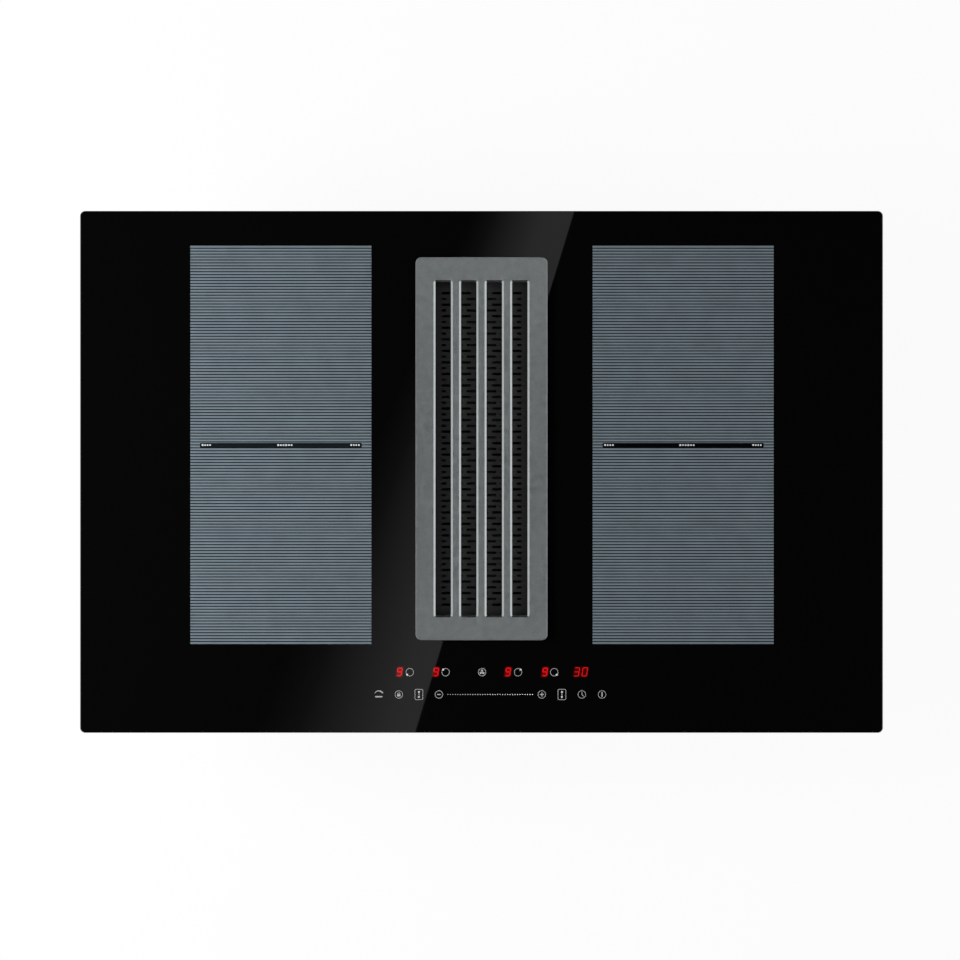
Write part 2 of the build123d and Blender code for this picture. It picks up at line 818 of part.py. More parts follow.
# Blower tub: the extractor box, with its outlet at the back and a socket for the overflow cup
cup_socket_radius = cup_radius + cup_fit
cup_recess_radius = cup_flange_radius + cup_recess_gap
duct_opening_width = duct_inner_width - 2 * flap_seat
duct_opening_height = duct_inner_height - 2 * flap_seat
motor_screw_circle = (motor_radius + motor_foot_radius) / 2
with BuildPart() as blower_tub:
    with BuildSketch(at_inlet(0)):
        RectangleRounded(tub_width, tub_length, tub_corner_radius)
    extrude(amount=tub_height)
    fillet(blower_tub.faces().sort_by(Axis.Z)[0].edges(), tub_edge_round)
    with BuildSketch(at_inlet(tub_wall)):
        RectangleRounded(tub_inner_width, tub_inner_length, tub_corner_radius - tub_wall)
    extrude(amount=tub_height, mode=Mode.SUBTRACT)
    with BuildSketch(at_inlet(tub_height - tub_flange_thickness)):
        rounded_ring(
            tub_width + 2 * tub_flange,
            tub_length + 2 * tub_flange,
            tub_corner_radius,
            tub_flange + tub_wall,
            tub_corner_radius - tub_wall,
        )
    extrude(amount=tub_flange_thickness)
    with BuildSketch(Plane.XY.offset(tub_height - tub_flange_thickness)):
        with Locations(*tub_screws):
            Circle(screw_hole)
    extrude(amount=tub_flange_thickness, mode=Mode.SUBTRACT)
    with BuildSketch(facing_back(0, tub_inner_rear_y, duct_z)):
        RectangleRounded(duct_opening_width, duct_opening_height, duct_inner_radius)
        with Locations(*spigot_screws):
            Circle(screw_hole)
    extrude(amount=-tub_wall, mode=Mode.SUBTRACT)
    with Locations((cup_x, cup_y, 0)):
        Cylinder(cup_recess_radius + tub_wall, cup_recess_depth + tub_wall, align=BOTTOM)
        Cylinder(cup_socket_radius + cup_collar_wall, cup_collar_height, align=BOTTOM)
        Cylinder(cup_socket_radius, cup_collar_height, align=BOTTOM, mode=Mode.SUBTRACT)
        Cylinder(cup_recess_radius, cup_recess_depth, align=BOTTOM, mode=Mode.SUBTRACT)
    with Locations((impeller_x, impeller_y, tub_wall)):
        with PolarLocations(motor_screw_circle, motor_screw_count):
            Cylinder(screw_hole, screw_pocket, align=TOP, mode=Mode.SUBTRACT)
blower_tub.part.label = "blower_tub"
export_step(blower_tub.part, "parts/blower_tub.step")

# Blower lid: closes the tub under the casing's floor and carries the drip tray's margin
with BuildPart() as blower_lid:
    with BuildSketch(at_inlet(tub_height)):
        RectangleRounded(
            tub_width + 2 * tub_flange, tub_length + 2 * tub_flange, tub_corner_radius
        )
        RectangleRounded(
            stack_width - 2 * tray_seat,
            stack_length - 2 * tray_seat,
            lid_opening_radius,
            mode=Mode.SUBTRACT,
        )
    extrude(amount=lid_thickness)
    with BuildSketch(Plane.XY.offset(tub_height)):
        with Locations(*tub_screws, *shaft_screws):
            Circle(screw_hole)
    extrude(amount=lid_thickness, mode=Mode.SUBTRACT)
blower_lid.part.label = "blower_lid"
export_step(blower_lid.part, "parts/blower_lid.step")

# Inlet nozzle: plate across the tub with a bell mouth over the impeller and a drain pipe
with BuildPart() as inlet_nozzle:
    with BuildSketch(at_inlet(nozzle_plate_z)):
        RectangleRounded(
            tub_inner_width - 2 * rest_gap,
            tub_inner_length - 2 * rest_gap,
            tub_corner_radius - tub_wall,
        )
    extrude(amount=nozzle_plate_thickness)
    with Locations((impeller_x, impeller_y, nozzle_plate_z)):
        Cylinder(
            nozzle_radius + nozzle_mouth_round,
            nozzle_plate_thickness,
            align=BOTTOM,
            mode=Mode.SUBTRACT,
        )
    with BuildSketch(facing_back(impeller_x, impeller_y, 0)):
        with BuildLine():
            throat_z = nozzle_top_z - nozzle_mouth_round
            outer_round = nozzle_mouth_round - nozzle_plate_thickness
            inside = Line((nozzle_radius, nozzle_plate_z - nozzle_lip), (nozzle_radius, throat_z))
            mouth = CenterArc(
                (nozzle_radius + nozzle_mouth_round, throat_z), nozzle_mouth_round, 180, -90
            )
            edge = Line(mouth @ 1, (mouth @ 1) - Vector(0, nozzle_plate_thickness))
            under = CenterArc(
                (nozzle_radius + nozzle_mouth_round, throat_z), outer_round, 90, 90
            )
            outside = Line(under @ 1, ((under @ 1).X, nozzle_plate_z - nozzle_lip))
            Line(outside @ 1, inside @ 0)
        make_face()
    revolve(axis=Axis((impeller_x, impeller_y, 0), (0, 0, 1)))
    drain_length = nozzle_top_z - cup_rim_z - drain_gap
    with Locations((cup_x, cup_y, nozzle_top_z)):
        Cylinder(drain_radius + drain_wall, drain_length, align=TOP)
        Cylinder(drain_radius, drain_length, align=TOP, mode=Mode.SUBTRACT)
inlet_nozzle.part.label = "inlet_nozzle"
export_step(inlet_nozzle.part, "parts/inlet_nozzle.step")

# Volute wall: scroll of four arcs round the impeller, then a straight run and a diffuser
# to the outlet. The centres stand on a small square, so each quarter adds the same growth.
scroll_centres = [(-1, 1), (-1, -1), (1, -1), (1, 1)]
tongue_x = impeller_x - scroll_half + scroll_start_radius * cos(radians(tongue_angle))
tongue_y = impeller_y + scroll_half + scroll_start_radius * sin(radians(tongue_angle))
with BuildPart() as volute_wall:
    with BuildSketch(Plane.XY.offset(tub_wall)):
        for quarter, (right, back) in enumerate(scroll_centres):
            centre = (impeller_x + right * scroll_half, impeller_y + back * scroll_half)
            radius = scroll_start_radius + quarter * scroll_growth
            start = tongue_angle if quarter == 0 else 90 * quarter
            turn = 90 * (quarter + 1) - start
            with BuildLine():
                inner = CenterArc(centre, radius, start, turn)
                outer = CenterArc(centre, radius + scroll_wall, start, turn)
                Line(inner @ 0, outer @ 0)
                Line(inner @ 1, outer @ 1)
            make_face()
        straight = tub_inner_rear_y - impeller_y - scroll_half
        with Locations((duct_inner_width / 2, impeller_y + scroll_half)):
            Rectangle(scroll_wall, straight, align=(Align.MIN, Align.MIN))
        diffuser_end = -duct_inner_width / 2
        Polygon(
            (tongue_x, tongue_y),
            (tongue_x + scroll_wall, tongue_y + scroll_wall / 2),
            (diffuser_end + scroll_wall, tub_inner_rear_y),
            (diffuser_end, tub_inner_rear_y),
            (diffuser_end, tub_inner_rear_y - scroll_wall / 2),
            align=None,
        )
    extrude(amount=nozzle_plate_z - tub_wall)
volute_wall.part.label = "volute_wall"
export_step(volute_wall.part, "parts/volute_wall.step")

# Blower motor: can on a foot flange, under the dome of the impeller
with BuildPart() as blower_motor:
    with Locations((impeller_x, impeller_y, tub_wall)):
        Cylinder(motor_foot_radius, motor_foot_thickness, align=BOTTOM)
        Cylinder(motor_radius, motor_height, align=BOTTOM)
    can_top = blower_motor.faces().sort_by(Axis.Z)[-1].edges()
    fillet(can_top, motor_edge_round)
    with Locations((impeller_x, impeller_y, tub_wall + motor_shaft_gap)):
        Cylinder(
            shaft_pin_radius + shaft_clearance, motor_height, align=BOTTOM, mode=Mode.SUBTRACT
        )
    with Locations((impeller_x, impeller_y, tub_wall)):
        with PolarLocations(motor_screw_circle, motor_screw_count):
            Cylinder(screw_hole, motor_foot_thickness, align=BOTTOM, mode=Mode.SUBTRACT)
blower_motor.part.label = "blower_motor"
export_step(blower_motor.part, "parts/blower_motor.step")

# Motor shaft: turns with the impeller
motor_shaft_z = tub_wall + motor_shaft_gap + rest_gap
shaft_tip_z = dome_top_z + hub_height + shaft_pin_radius
with BuildPart() as motor_shaft:
    with Locations((impeller_x, impeller_y, motor_shaft_z)):
        Cylinder(shaft_pin_radius, shaft_tip_z - motor_shaft_z, align=BOTTOM)
motor_shaft.part.label = "motor_shaft"
export_step(motor_shaft.part, "parts/motor_shaft.step")

# Impeller: back plate with a dome over the motor, curved blades and a ring round their tops.
# The blades lean forwards, in the sense in which the scroll widens.
blade_tip_radius = impeller_radius - blade_tip_inset
blade_middle = (blade_inner_radius + blade_tip_radius) / 2
with BuildSketch() as blade_section:
    with BuildLine():
        leading = ThreePointArc(
            (blade_inner_radius, 0), (blade_middle, -blade_camber), (blade_tip_radius, 0)
        )
        trailing = ThreePointArc(
            (blade_inner_radius, blade_thickness),
            (blade_middle, blade_thickness - blade_camber),
            (blade_tip_radius, blade_thickness),
        )
        Line(leading @ 0, trailing @ 0)
        Line(leading @ 1, trailing @ 1)
    make_face()
with BuildPart() as impeller:
    with BuildSketch(facing_back(impeller_x, impeller_y, 0)):
        bore = shaft_pin_radius + shaft_clearance / 2
        with BuildLine():
            Polyline(
                (bore, dome_top_z - dome_wall),
                (dome_radius - dome_wall, dome_top_z - dome_wall),
                (dome_radius - dome_wall, impeller_z),
                (impeller_radius, impeller_z),
                (impeller_radius, impeller_z + backplate),
                (dome_radius, impeller_z + backplate),
                (dome_radius, dome_top_z),
                (hub_radius, dome_top_z),
                (hub_radius, dome_top_z + hub_height),
                (bore, dome_top_z + hub_height),
                close=True,
            )
        make_face()
    revolve(axis=Axis((impeller_x, impeller_y, 0), (0, 0, 1)))
    with BuildSketch(Plane.XY.offset(impeller_z + backplate)):
        with Locations((impeller_x, impeller_y)):
            with PolarLocations(0, blade_count):
                add(blade_section.sketch)
    extrude(amount=impeller_height - backplate)
    with BuildSketch(Plane.XY.offset(impeller_z + impeller_height - shroud_ring_height)):
        with Locations((impeller_x, impeller_y)):
            Circle(impeller_radius)
            Circle(blade_inner_radius - ring_overlap, mode=Mode.SUBTRACT)
    extrude(amount=shroud_ring_height)
impeller.part.label = "impeller"
export_step(impeller.part, "parts/impeller.step")

# Outlet spigot: flat channel socket on the back of the tub, with the flap's seat inside
flap_pin_y = spigot_face_y + flap_rest_gap + flap_thickness + flap_sleeve_wall
flap_sleeve_radius = flap_pin_radius + flap_pin_clearance + flap_sleeve_wall
duct_inner_top_z = duct_z + duct_inner_height / 2
flap_pin_z = duct_inner_top_z - flap_sleeve_gap - flap_sleeve_radius
with BuildPart() as outlet_spigot:
    with BuildSketch(facing_back(0, tub_rear_y, duct_z)):
        RectangleRounded(
            duct_width + 2 * spigot_flange,
            duct_height + 2 * spigot_flange,
            duct_corner_radius,
        )
        RectangleRounded(
            duct_opening_width,
            duct_opening_height,
            duct_inner_radius,
            mode=Mode.SUBTRACT,
        )
        with Locations(*spigot_screws):
            Circle(screw_hole, mode=Mode.SUBTRACT)
    extrude(amount=-spigot_flange_thickness)
    with BuildSketch(facing_back(0, spigot_face_y, duct_z)):
        rounded_ring(duct_width, duct_height, duct_corner_radius, duct_wall, duct_inner_radius)
    extrude(amount=-(spigot_length - spigot_flange_thickness))
    with Locations(Location((0, flap_pin_y, flap_pin_z), (0, 90, 0))):
        Cylinder(flap_pin_radius + flap_pin_clearance, duct_width, mode=Mode.SUBTRACT)
outlet_spigot.part.label = "outlet_spigot"
export_step(outlet_spigot.part, "parts/outlet_spigot.step")

# Flap pin: steel wire across the top of the spigot
with BuildPart() as flap_pin:
    with Locations(Location((0, flap_pin_y, flap_pin_z), (0, 90, 0))):
        Cylinder(flap_pin_radius, duct_width)
flap_pin.part.label = "flap_pin"
export_step(flap_pin.part, "parts/flap_pin.step")

# Backdraft flap: plate that hangs from the pin and rests against the seat
flap_width = duct_inner_width - 2 * flap_side_gap
flap_height = flap_pin_z - (duct_z - duct_inner_height / 2) - flap_side_gap
flap_face_y = spigot_face_y + flap_rest_gap
with BuildPart() as backdraft_flap:
    with BuildSketch(facing_back(0, flap_face_y, flap_pin_z)):
        with Locations((0, -flap_height / 2)):
            Rectangle(flap_width, flap_height)
    extrude(amount=-flap_thickness)
    fillet(backdraft_flap.edges().filter_by(Axis.Y), duct_inner_radius)
    with Locations(Location((0, flap_pin_y, flap_pin_z), (0, 90, 0))):
        Cylinder(flap_sleeve_radius, flap_width - 2 * duct_inner_radius)
        Cylinder(flap_pin_radius + flap_pin_clearance, flap_width, mode=Mode.SUBTRACT)
backdraft_flap.part.label = "backdraft_flap"
export_step(backdraft_flap.part, "parts/backdraft_flap.step")

# Overflow cup: pulled down out of its socket to be emptied, with a grip bar in its bottom
with BuildPart() as overflow_cup:
    with Locations((cup_x, cup_y, cup_lift)):
        Cylinder(cup_flange_radius, cup_flange_thickness, align=BOTTOM)
        Cylinder(cup_radius, cup_height, align=BOTTOM)
    with Locations((cup_x, cup_y, cup_lift + cup_base)):
        Cylinder(cup_radius - cup_wall, cup_height, align=BOTTOM, mode=Mode.SUBTRACT)
    with BuildSketch(Plane(origin=(cup_x, cup_y, cup_lift))):
        Circle(cup_radius - 2 * cup_wall)
        Rectangle(2 * cup_radius, cup_grip_width, mode=Mode.SUBTRACT)
    extrude(amount=cup_grip_depth, mode=Mode.SUBTRACT)
overflow_cup.part.label = "overflow_cup"
export_step(overflow_cup.part, "parts/overflow_cup.step")

# Induction coils: flat windings of stranded wire, stood in for by solid rings
coil_places = {
    "coil_front_left": (-zone_x, zone_y - coil_pitch / 2),
    "coil_rear_left": (-zone_x, zone_y + coil_pitch / 2),
    "coil_front_right": (zone_x, zone_y - coil_pitch / 2),
    "coil_rear_right": (zone_x, zone_y + coil_pitch / 2),
}
for coil_name, (x, y) in coil_places.items():
    with BuildPart() as coil:
        with BuildSketch(Plane(origin=(x, y, coil_z))):
            RectangleRounded(coil_width, coil_length, coil_corner_radius)
            RectangleRounded(
                coil_eye_width, coil_eye_length, coil_eye_radius, mode=Mode.SUBTRACT
            )
        extrude(amount=coil_thickness)
    coil.part.label = coil_name
    export_step(coil.part, f"parts/{coil_name}.step")

# Ferrite bars: between the windings and the carriers
with BuildPart() as ferrite_bars:
    with BuildSketch(Plane.XY.offset(carrier_top_z)):
        with Locations(*coil_places.values()):
            with GridLocations(ferrite_pitch_x, ferrite_pitch_y, ferrite_columns, ferrite_rows):
                Rectangle(ferrite_length, ferrite_width)
    extrude(amount=ferrite_thickness)
ferrite_bars.part.label = "ferrite_bars"
export_step(ferrite_bars.part, "parts/ferrite_bars.step")

# Temperature sensors: a button in the eye of each coil, standing on the carrier
with BuildPart() as coil_sensors:
    with BuildSketch(Plane.XY.offset(carrier_top_z)):
        with Locations(*coil_places.values()):
            Circle(sensor_radius)
    extrude(amount=coil_top_z - carrier_top_z - sensor_gap)
coil_sensors.part.label = "coil_sensors"
export_step(coil_sensors.part, "parts/coil_sensors.step")

bridge_ys = [
    zone_y + (row - (bridge_rows - 1) / 2) * bridge_row_pitch for row in range(bridge_rows)
]
bridge_half = bridge_spread / 2
spring_reach = bridge_half - bridge_width / 2

# Springs: press the coil carriers up against the glass
with BuildPart() as coil_springs:
    with BuildSketch(Plane.XY.offset(bridge_top_z)):
        for side in (-1, 1):
            with Locations(*[(side * zone_x, y) for y in bridge_ys]):
                with Locations((-spring_reach, 0), (spring_reach, 0)):
                    Circle(spring_radius)
                    Circle(spring_radius - spring_wall, mode=Mode.SUBTRACT)
    extrude(amount=spring_height)
coil_springs.part.label = "coil_springs"
export_step(coil_springs.part, "parts/coil_springs.step")

for side, word in ((-1, "left"), (1, "right")):
    # Mica sheet: insulates the coils from the glass
    with BuildPart() as mica_sheet:
        with BuildSketch(Plane(origin=(side * zone_x, zone_y, coil_top_z))):
            RectangleRounded(zone_width, zone_length, coil_margin)
        extrude(amount=mica_thickness)
    mica_sheet.part.label = f"mica_sheet_{word}"
    export_step(mica_sheet.part, f"parts/mica_sheet_{word}.step")

    # Coil carrier: aluminium plate with a turned-down rim
    with BuildPart() as coil_carrier:
        with BuildSketch(Plane(origin=(side * zone_x, zone_y, carrier_z))):
            RectangleRounded(zone_width, zone_length, carrier_rim)
        extrude(amount=carrier_thickness)
        with BuildSketch(Plane(origin=(side * zone_x, zone_y, carrier_z))):
            rounded_ring(zone_width, zone_length, carrier_rim, carrier_thickness, carrier_rim)
        extrude(amount=-carrier_rim)
    coil_carrier.part.label = f"coil_carrier_{word}"
    export_step(coil_carrier.part, f"parts/coil_carrier_{word}.step")

    # Coil bridges: bent strips that stand on the casing's floor over the electronics
    with BuildPart() as coil_bridges:
        for y in bridge_ys:
            with BuildSketch(facing_back(side * zone_x, y + bridge_width / 2, 0)):
                with BuildLine():
                    Polyline(
                        (-bridge_half - bridge_foot, floor_top_z),
                        (-bridge_half + bridge_leg, floor_top_z),
                        (-bridge_half + bridge_leg, bridge_top_z - bridge_leg),
                        (bridge_half - bridge_leg, bridge_top_z - bridge_leg),
                        (bridge_half - bridge_leg, floor_top_z),
                        (bridge_half + bridge_foot, floor_top_z),
                        (bridge_half + bridge_foot, floor_top_z + bridge_leg),
                        (bridge_half, floor_top_z + bridge_leg),
                        (bridge_half, bridge_top_z),
                        (-bridge_half, bridge_top_z),
                        (-bridge_half, floor_top_z + bridge_leg),
                        (-bridge_half - bridge_foot, floor_top_z + bridge_leg),
                        close=True,
                    )
                make_face()
            extrude(amount=bridge_width)
    coil_bridges.part.label = f"coil_bridges_{word}"
    export_step(coil_bridges.part, f"parts/coil_bridges_{word}.step")

    # Power board: stands on the casing's pressed standoffs
    with BuildPart() as power_board:
        with BuildSketch(Plane(origin=(side * zone_x, board_y, board_z))):
            RectangleRounded(board_width, board_length, bracket_wall)
        extrude(amount=board_thickness)
    power_board.part.label = f"power_board_{word}"
    export_step(power_board.part, f"parts/power_board_{word}.step")

    # Heat sink: finned extrusion, its fins along the fan's air flow
    fin_pitch = (sink_width - sink_fin_thickness) / (sink_fins - 1)
    with BuildPart() as heat_sink:
        with BuildSketch(Plane(origin=(side * (zone_x - sink_offset_x), board_y, board_top_z))):
            Rectangle(sink_width, sink_length)
        extrude(amount=sink_base)
        with BuildSketch(Plane(origin=(side * (zone_x - sink_offset_x), board_y, board_top_z))):
            with GridLocations(fin_pitch, 0, sink_fins, 1):
                Rectangle(sink_fin_thickness, sink_length)
        extrude(amount=sink_height)
    heat_sink.part.label = f"heat_sink_{word}"
    export_step(heat_sink.part, f"parts/heat_sink_{word}.step")

    # Power components: capacitors and chokes soldered to the board
    with BuildPart() as power_components:
        with Locations((side * (zone_x + components_x), board_y, board_top_z)):
            with Locations((0, capacitor_y, 0), (side * capacitor_pitch, capacitor_y, 0)):
                Cylinder(capacitor_radius, capacitor_height, align=BOTTOM)
            with Locations((0, film_pitch / 2, 0), (0, -film_pitch / 2, 0)):
                Box(film_width, film_length, film_height, align=BOTTOM)
            with Locations((0, choke_y, 0)):
                Cylinder(choke_radius, choke_height, align=BOTTOM)
                Cylinder(choke_hole_radius, choke_height, align=BOTTOM, mode=Mode.SUBTRACT)
    power_components.part.label = f"power_components_{word}"
    export_step(power_components.part, f"parts/power_components_{word}.step")

    # Fan frame: square ring with struts, a hub plate and the rotor's pin
    fan_strut_length = fan_bore_radius - fan_hub_radius + 2 * fan_strut_overlap
    with BuildPart() as fan_frame:
        with BuildSketch(Plane(origin=(side * fan_x, fan_y, floor_top_z))):
            RectangleRounded(fan_size, fan_size, fan_corner_radius)
            Circle(fan_bore_radius, mode=Mode.SUBTRACT)
        extrude(amount=fan_height)
        with BuildSketch(Plane(origin=(side * fan_x, fan_y, floor_top_z))):
            Circle(fan_hub_radius)
            with PolarLocations((fan_bore_radius + fan_hub_radius) / 2, fan_strut_count):
                Rectangle(fan_strut_length, fan_strut_width)
        extrude(amount=fan_base_height)
        with Locations((side * fan_x, fan_y, floor_top_z)):
            Cylinder(fan_pin_radius, fan_base_height + fan_hub_height - fan_rotor_gap, align=BOTTOM)
    fan_frame.part.label = f"fan_frame_{word}"
    export_step(fan_frame.part, f"parts/fan_frame_{word}.step")

    # Fan rotor: hub cap and tilted blades
    rotor_z = floor_top_z + fan_base_height + fan_rotor_gap
    blade_tip = fan_bore_radius - fan_tip_gap
    blade_span = blade_tip - fan_hub_radius + fan_strut_overlap
    with BuildPart() as fan_rotor:
        with Locations((side * fan_x, fan_y, rotor_z + fan_hub_height / 2)):
            Cylinder(fan_hub_radius, fan_hub_height)
            with PolarLocations(blade_tip - blade_span / 2, fan_blade_count):
                Box(
                    blade_span,
                    fan_blade_chord,
                    fan_blade_thickness,
                    rotation=(side * fan_blade_angle, 0, 0),
                )
        with Locations((side * fan_x, fan_y, rotor_z)):
            Cylinder(
                fan_pin_radius + fan_pin_clearance,
                fan_hub_height - fan_rotor_gap,
                align=BOTTOM,
                mode=Mode.SUBTRACT,
            )
    fan_rotor.part.label = f"fan_rotor_{word}"
    export_step(fan_rotor.part, f"parts/fan_rotor_{word}.step")

# Control bracket: plastic tray on two pairs of legs under the touch board
bracket_z = control_board_z - bracket_wall
with BuildPart() as control_bracket:
    with BuildSketch(Plane(origin=(control_x, control_y, bracket_z))):
        RectangleRounded(
            control_width + 2 * bracket_wall, control_length + 2 * bracket_wall, bracket_wall
        )
    extrude(amount=bracket_wall + control_thickness)
    with BuildSketch(Plane(origin=(control_x, control_y, control_board_z))):
        Rectangle(control_width + 2 * panel_gap, control_length + 2 * panel_gap)
    extrude(amount=control_thickness, mode=Mode.SUBTRACT)
    with BuildSketch(Plane(origin=(control_x, control_y, floor_top_z))):
        with GridLocations(control_width - bracket_leg, control_length - bracket_leg, 2, 2):
            Rectangle(bracket_leg, bracket_leg)
            Rectangle(
                bracket_leg - 2 * bracket_wall, bracket_leg - 2 * bracket_wall, mode=Mode.SUBTRACT
            )
    extrude(amount=bracket_z - floor_top_z)
control_bracket.part.label = "control_bracket"
export_step(control_bracket.part, "parts/control_bracket.step")

# Control board
with BuildPart() as control_board:
    with BuildSketch(Plane(origin=(control_x, control_y, control_board_z))):
        Rectangle(control_width, control_length)
    extrude(amount=control_thickness)
control_board.part.label = "control_board"
export_step(control_board.part, "parts/control_board.step")

# Display modules: one figure for each coil, and two figures for the timer
with BuildPart() as display_modules:
    with BuildSketch(Plane.XY.offset(control_top_z)):
        with Locations(*[(x, display_y) for x in display_xs]):
            Rectangle(display_width, display_length)
        with Locations((timer_x, display_y)):
            Rectangle(timer_width, display_length)
    extrude(amount=control_depth - display_gap)
display_modules.part.label = "display_modules"
export_step(display_modules.part, "parts/display_modules.step")

# Touch springs: carry the touch of a finger from the glass to the board
upper_keys = [(x, upper_key_y - key_spring_radius) for x in upper_key_xs]
lower_keys = [(x, lower_key_y) for x in lower_key_xs]
with BuildPart() as touch_springs:
    with BuildSketch(Plane.XY.offset(control_top_z)):
        with Locations(*upper_keys, *lower_keys):
            Circle(key_spring_radius)
            Circle(key_spring_radius - key_spring_wall, mode=Mode.SUBTRACT)
    extrude(amount=control_depth - key_spring_gap)
touch_springs.part.label = "touch_springs"
export_step(touch_springs.part, "parts/touch_springs.step")

# Cable gland: in the casing's floor, its bore open downwards for the mains cable
gland_drop = gland_hex_height + gland_dome_height
gland_rise = sheet + gland_nut_height + bracket_wall
with BuildPart() as cable_gland:
    with Locations((gland_x, gland_y, casing_floor_z)):
        Cylinder(gland_dome_radius, gland_drop, align=TOP)
    dome_rim = cable_gland.faces().sort_by(Axis.Z)[0].edges()
    fillet(dome_rim, bracket_wall)
    with BuildSketch(Plane(origin=(gland_x, gland_y, casing_floor_z))):
        RegularPolygon(gland_hex_width / 2, 6, major_radius=False)
    extrude(amount=-gland_hex_height)
    with BuildSketch(Plane(origin=(gland_x, gland_y, floor_top_z))):
        RegularPolygon(gland_hex_width / 2, 6, major_radius=False)
    extrude(amount=gland_nut_height)
    with Locations((gland_x, gland_y, casing_floor_z)):
        Cylinder(gland_thread_radius, gland_rise, align=BOTTOM)
    with Locations((gland_x, gland_y, casing_floor_z - gland_drop)):
        Cylinder(
            gland_bore_radius, gland_drop + gland_rise, align=BOTTOM, mode=Mode.SUBTRACT
        )
cable_gland.part.label = "cable_gland"
export_step(cable_gland.part, "parts/cable_gland.step")

# Terminal block: beside the gland, one way for each mains conductor
way_pitch = terminal_length / terminal_ways
way_radius = way_pitch / 4
with BuildPart() as terminal_block:
    with Locations((terminal_x, gland_y, floor_top_z)):
        Box(terminal_width, terminal_length, terminal_height, align=BOTTOM)
    with Locations((terminal_x, gland_y, floor_top_z + terminal_height)):
        with GridLocations(terminal_width / 2, way_pitch, 2, terminal_ways):
            Cylinder(way_radius, terminal_hole_depth, align=TOP, mode=Mode.SUBTRACT)
terminal_block.part.label = "terminal_block"
export_step(terminal_block.part, "parts/terminal_block.step")

# Clamp brackets: steel strips under the casing's edge, each with a nut for the clamp screw
bracket_outer_x = clamp_x + clamp_outer
bracket_inner_x = casing_width / 2 - clamp_base
bracket_length = bracket_outer_x - bracket_inner_x
bracket_bottom_z = casing_floor_z - clamp_thickness
with BuildPart() as clamp_brackets:
    for sx, sy in clamp_places:
        with BuildSketch(Plane.XY.offset(bracket_bottom_z)):
            with Locations((sx * (bracket_inner_x + bracket_length / 2), sy * clamp_y)):
                RectangleRounded(bracket_length, clamp_width, clamp_thickness)
        extrude(amount=clamp_thickness)
        with Locations((sx * clamp_x, sy * clamp_y, bracket_bottom_z)):
            Cylinder(clamp_nut_radius, clamp_nut_height, align=TOP)
            Cylinder(
                clamp_screw_radius + clamp_screw_clearance,
                2 * (clamp_nut_height + clamp_thickness),
                mode=Mode.SUBTRACT,
            )
    with BuildSketch(Plane.XY.offset(bracket_bottom_z)):
        with Locations(*clamp_screw_points):
            Circle(screw_hole)
    extrude(amount=clamp_thickness, mode=Mode.SUBTRACT)
clamp_brackets.part.label = "clamp_brackets"
export_step(clamp_brackets.part, "parts/clamp_brackets.step")

# Clamp screws: each with a foot that presses up under the worktop
clamp_head_z = bracket_bottom_z - clamp_drop
foot_z = casing_floor_z + clamp_foot_lift
clamp_names = ("front_left", "rear_left", "front_right", "rear_right")
for (sx, sy), place in zip(clamp_places, clamp_names):
    with BuildPart() as clamp_screw:
        with Locations((sx * clamp_x, sy * clamp_y, clamp_head_z)):
            Cylinder(clamp_head_radius, clamp_head_height, align=TOP)
            Cylinder(
                clamp_screw_radius, foot_z + clamp_foot_floor - clamp_head_z, align=BOTTOM
            )
        with Locations((sx * clamp_x, sy * clamp_y, clamp_head_z - clamp_head_height)):
            Box(
                2 * clamp_screw_radius,
                screw_recess_width,
                screw_recess,
                align=BOTTOM,
                mode=Mode.SUBTRACT,
            )
        with Locations((sx * clamp_x, sy * clamp_y, foot_z)):
            Cylinder(clamp_foot_radius, clamp_foot_height, align=BOTTOM)
    clamp_screw.part.label = f"clamp_screw_{place}"
    export_step(clamp_screw.part, f"parts/clamp_screw_{place}.step")

# Housing screws: pan heads of one size, with shorter ones in the motor's foot
rim_under_z = tub_height - tub_flange_thickness
motor_foot_top = Location((impeller_x, impeller_y, tub_wall + motor_foot_thickness))
screw_places = [Location((x, y, rim_under_z)) for x, y in tub_screws]
screw_places += [Location((x, y, bracket_bottom_z)) for x, y in clamp_screw_points]
screw_places += [
    Location((x, y, floor_top_z + shaft_foot_thickness), (180, 0, 0)) for x, y in shaft_screws
]
screw_places += [
    Location((x, spigot_face_y, duct_z + z), (90, 0, 0)) for x, z in spigot_screws
]
with BuildPart() as housing_screws:
    with Locations(*screw_places):
        pan_head_screw(screw_length)
    with Locations(motor_foot_top):
        with PolarLocations(motor_screw_circle, motor_screw_count):
            with Locations(Location((0, 0, 0), (180, 0, 0))):
                pan_head_screw(motor_screw_length)
housing_screws.part.label = "housing_screws"
export_step(housing_screws.part, "parts/housing_screws.step")
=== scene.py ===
# %% [markdown]
# A hob of black glass with its own extractor, dressed for the camera.
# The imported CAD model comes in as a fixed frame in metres. This file gives every piece of it a
# finish, prints the cooking zones and the controls on the glass, and sets up the studio.
# Each step says what the real thing is, how it could be made in Blender, and why this way.

# %% The frame
from math import cos, hypot, pi, radians, sin

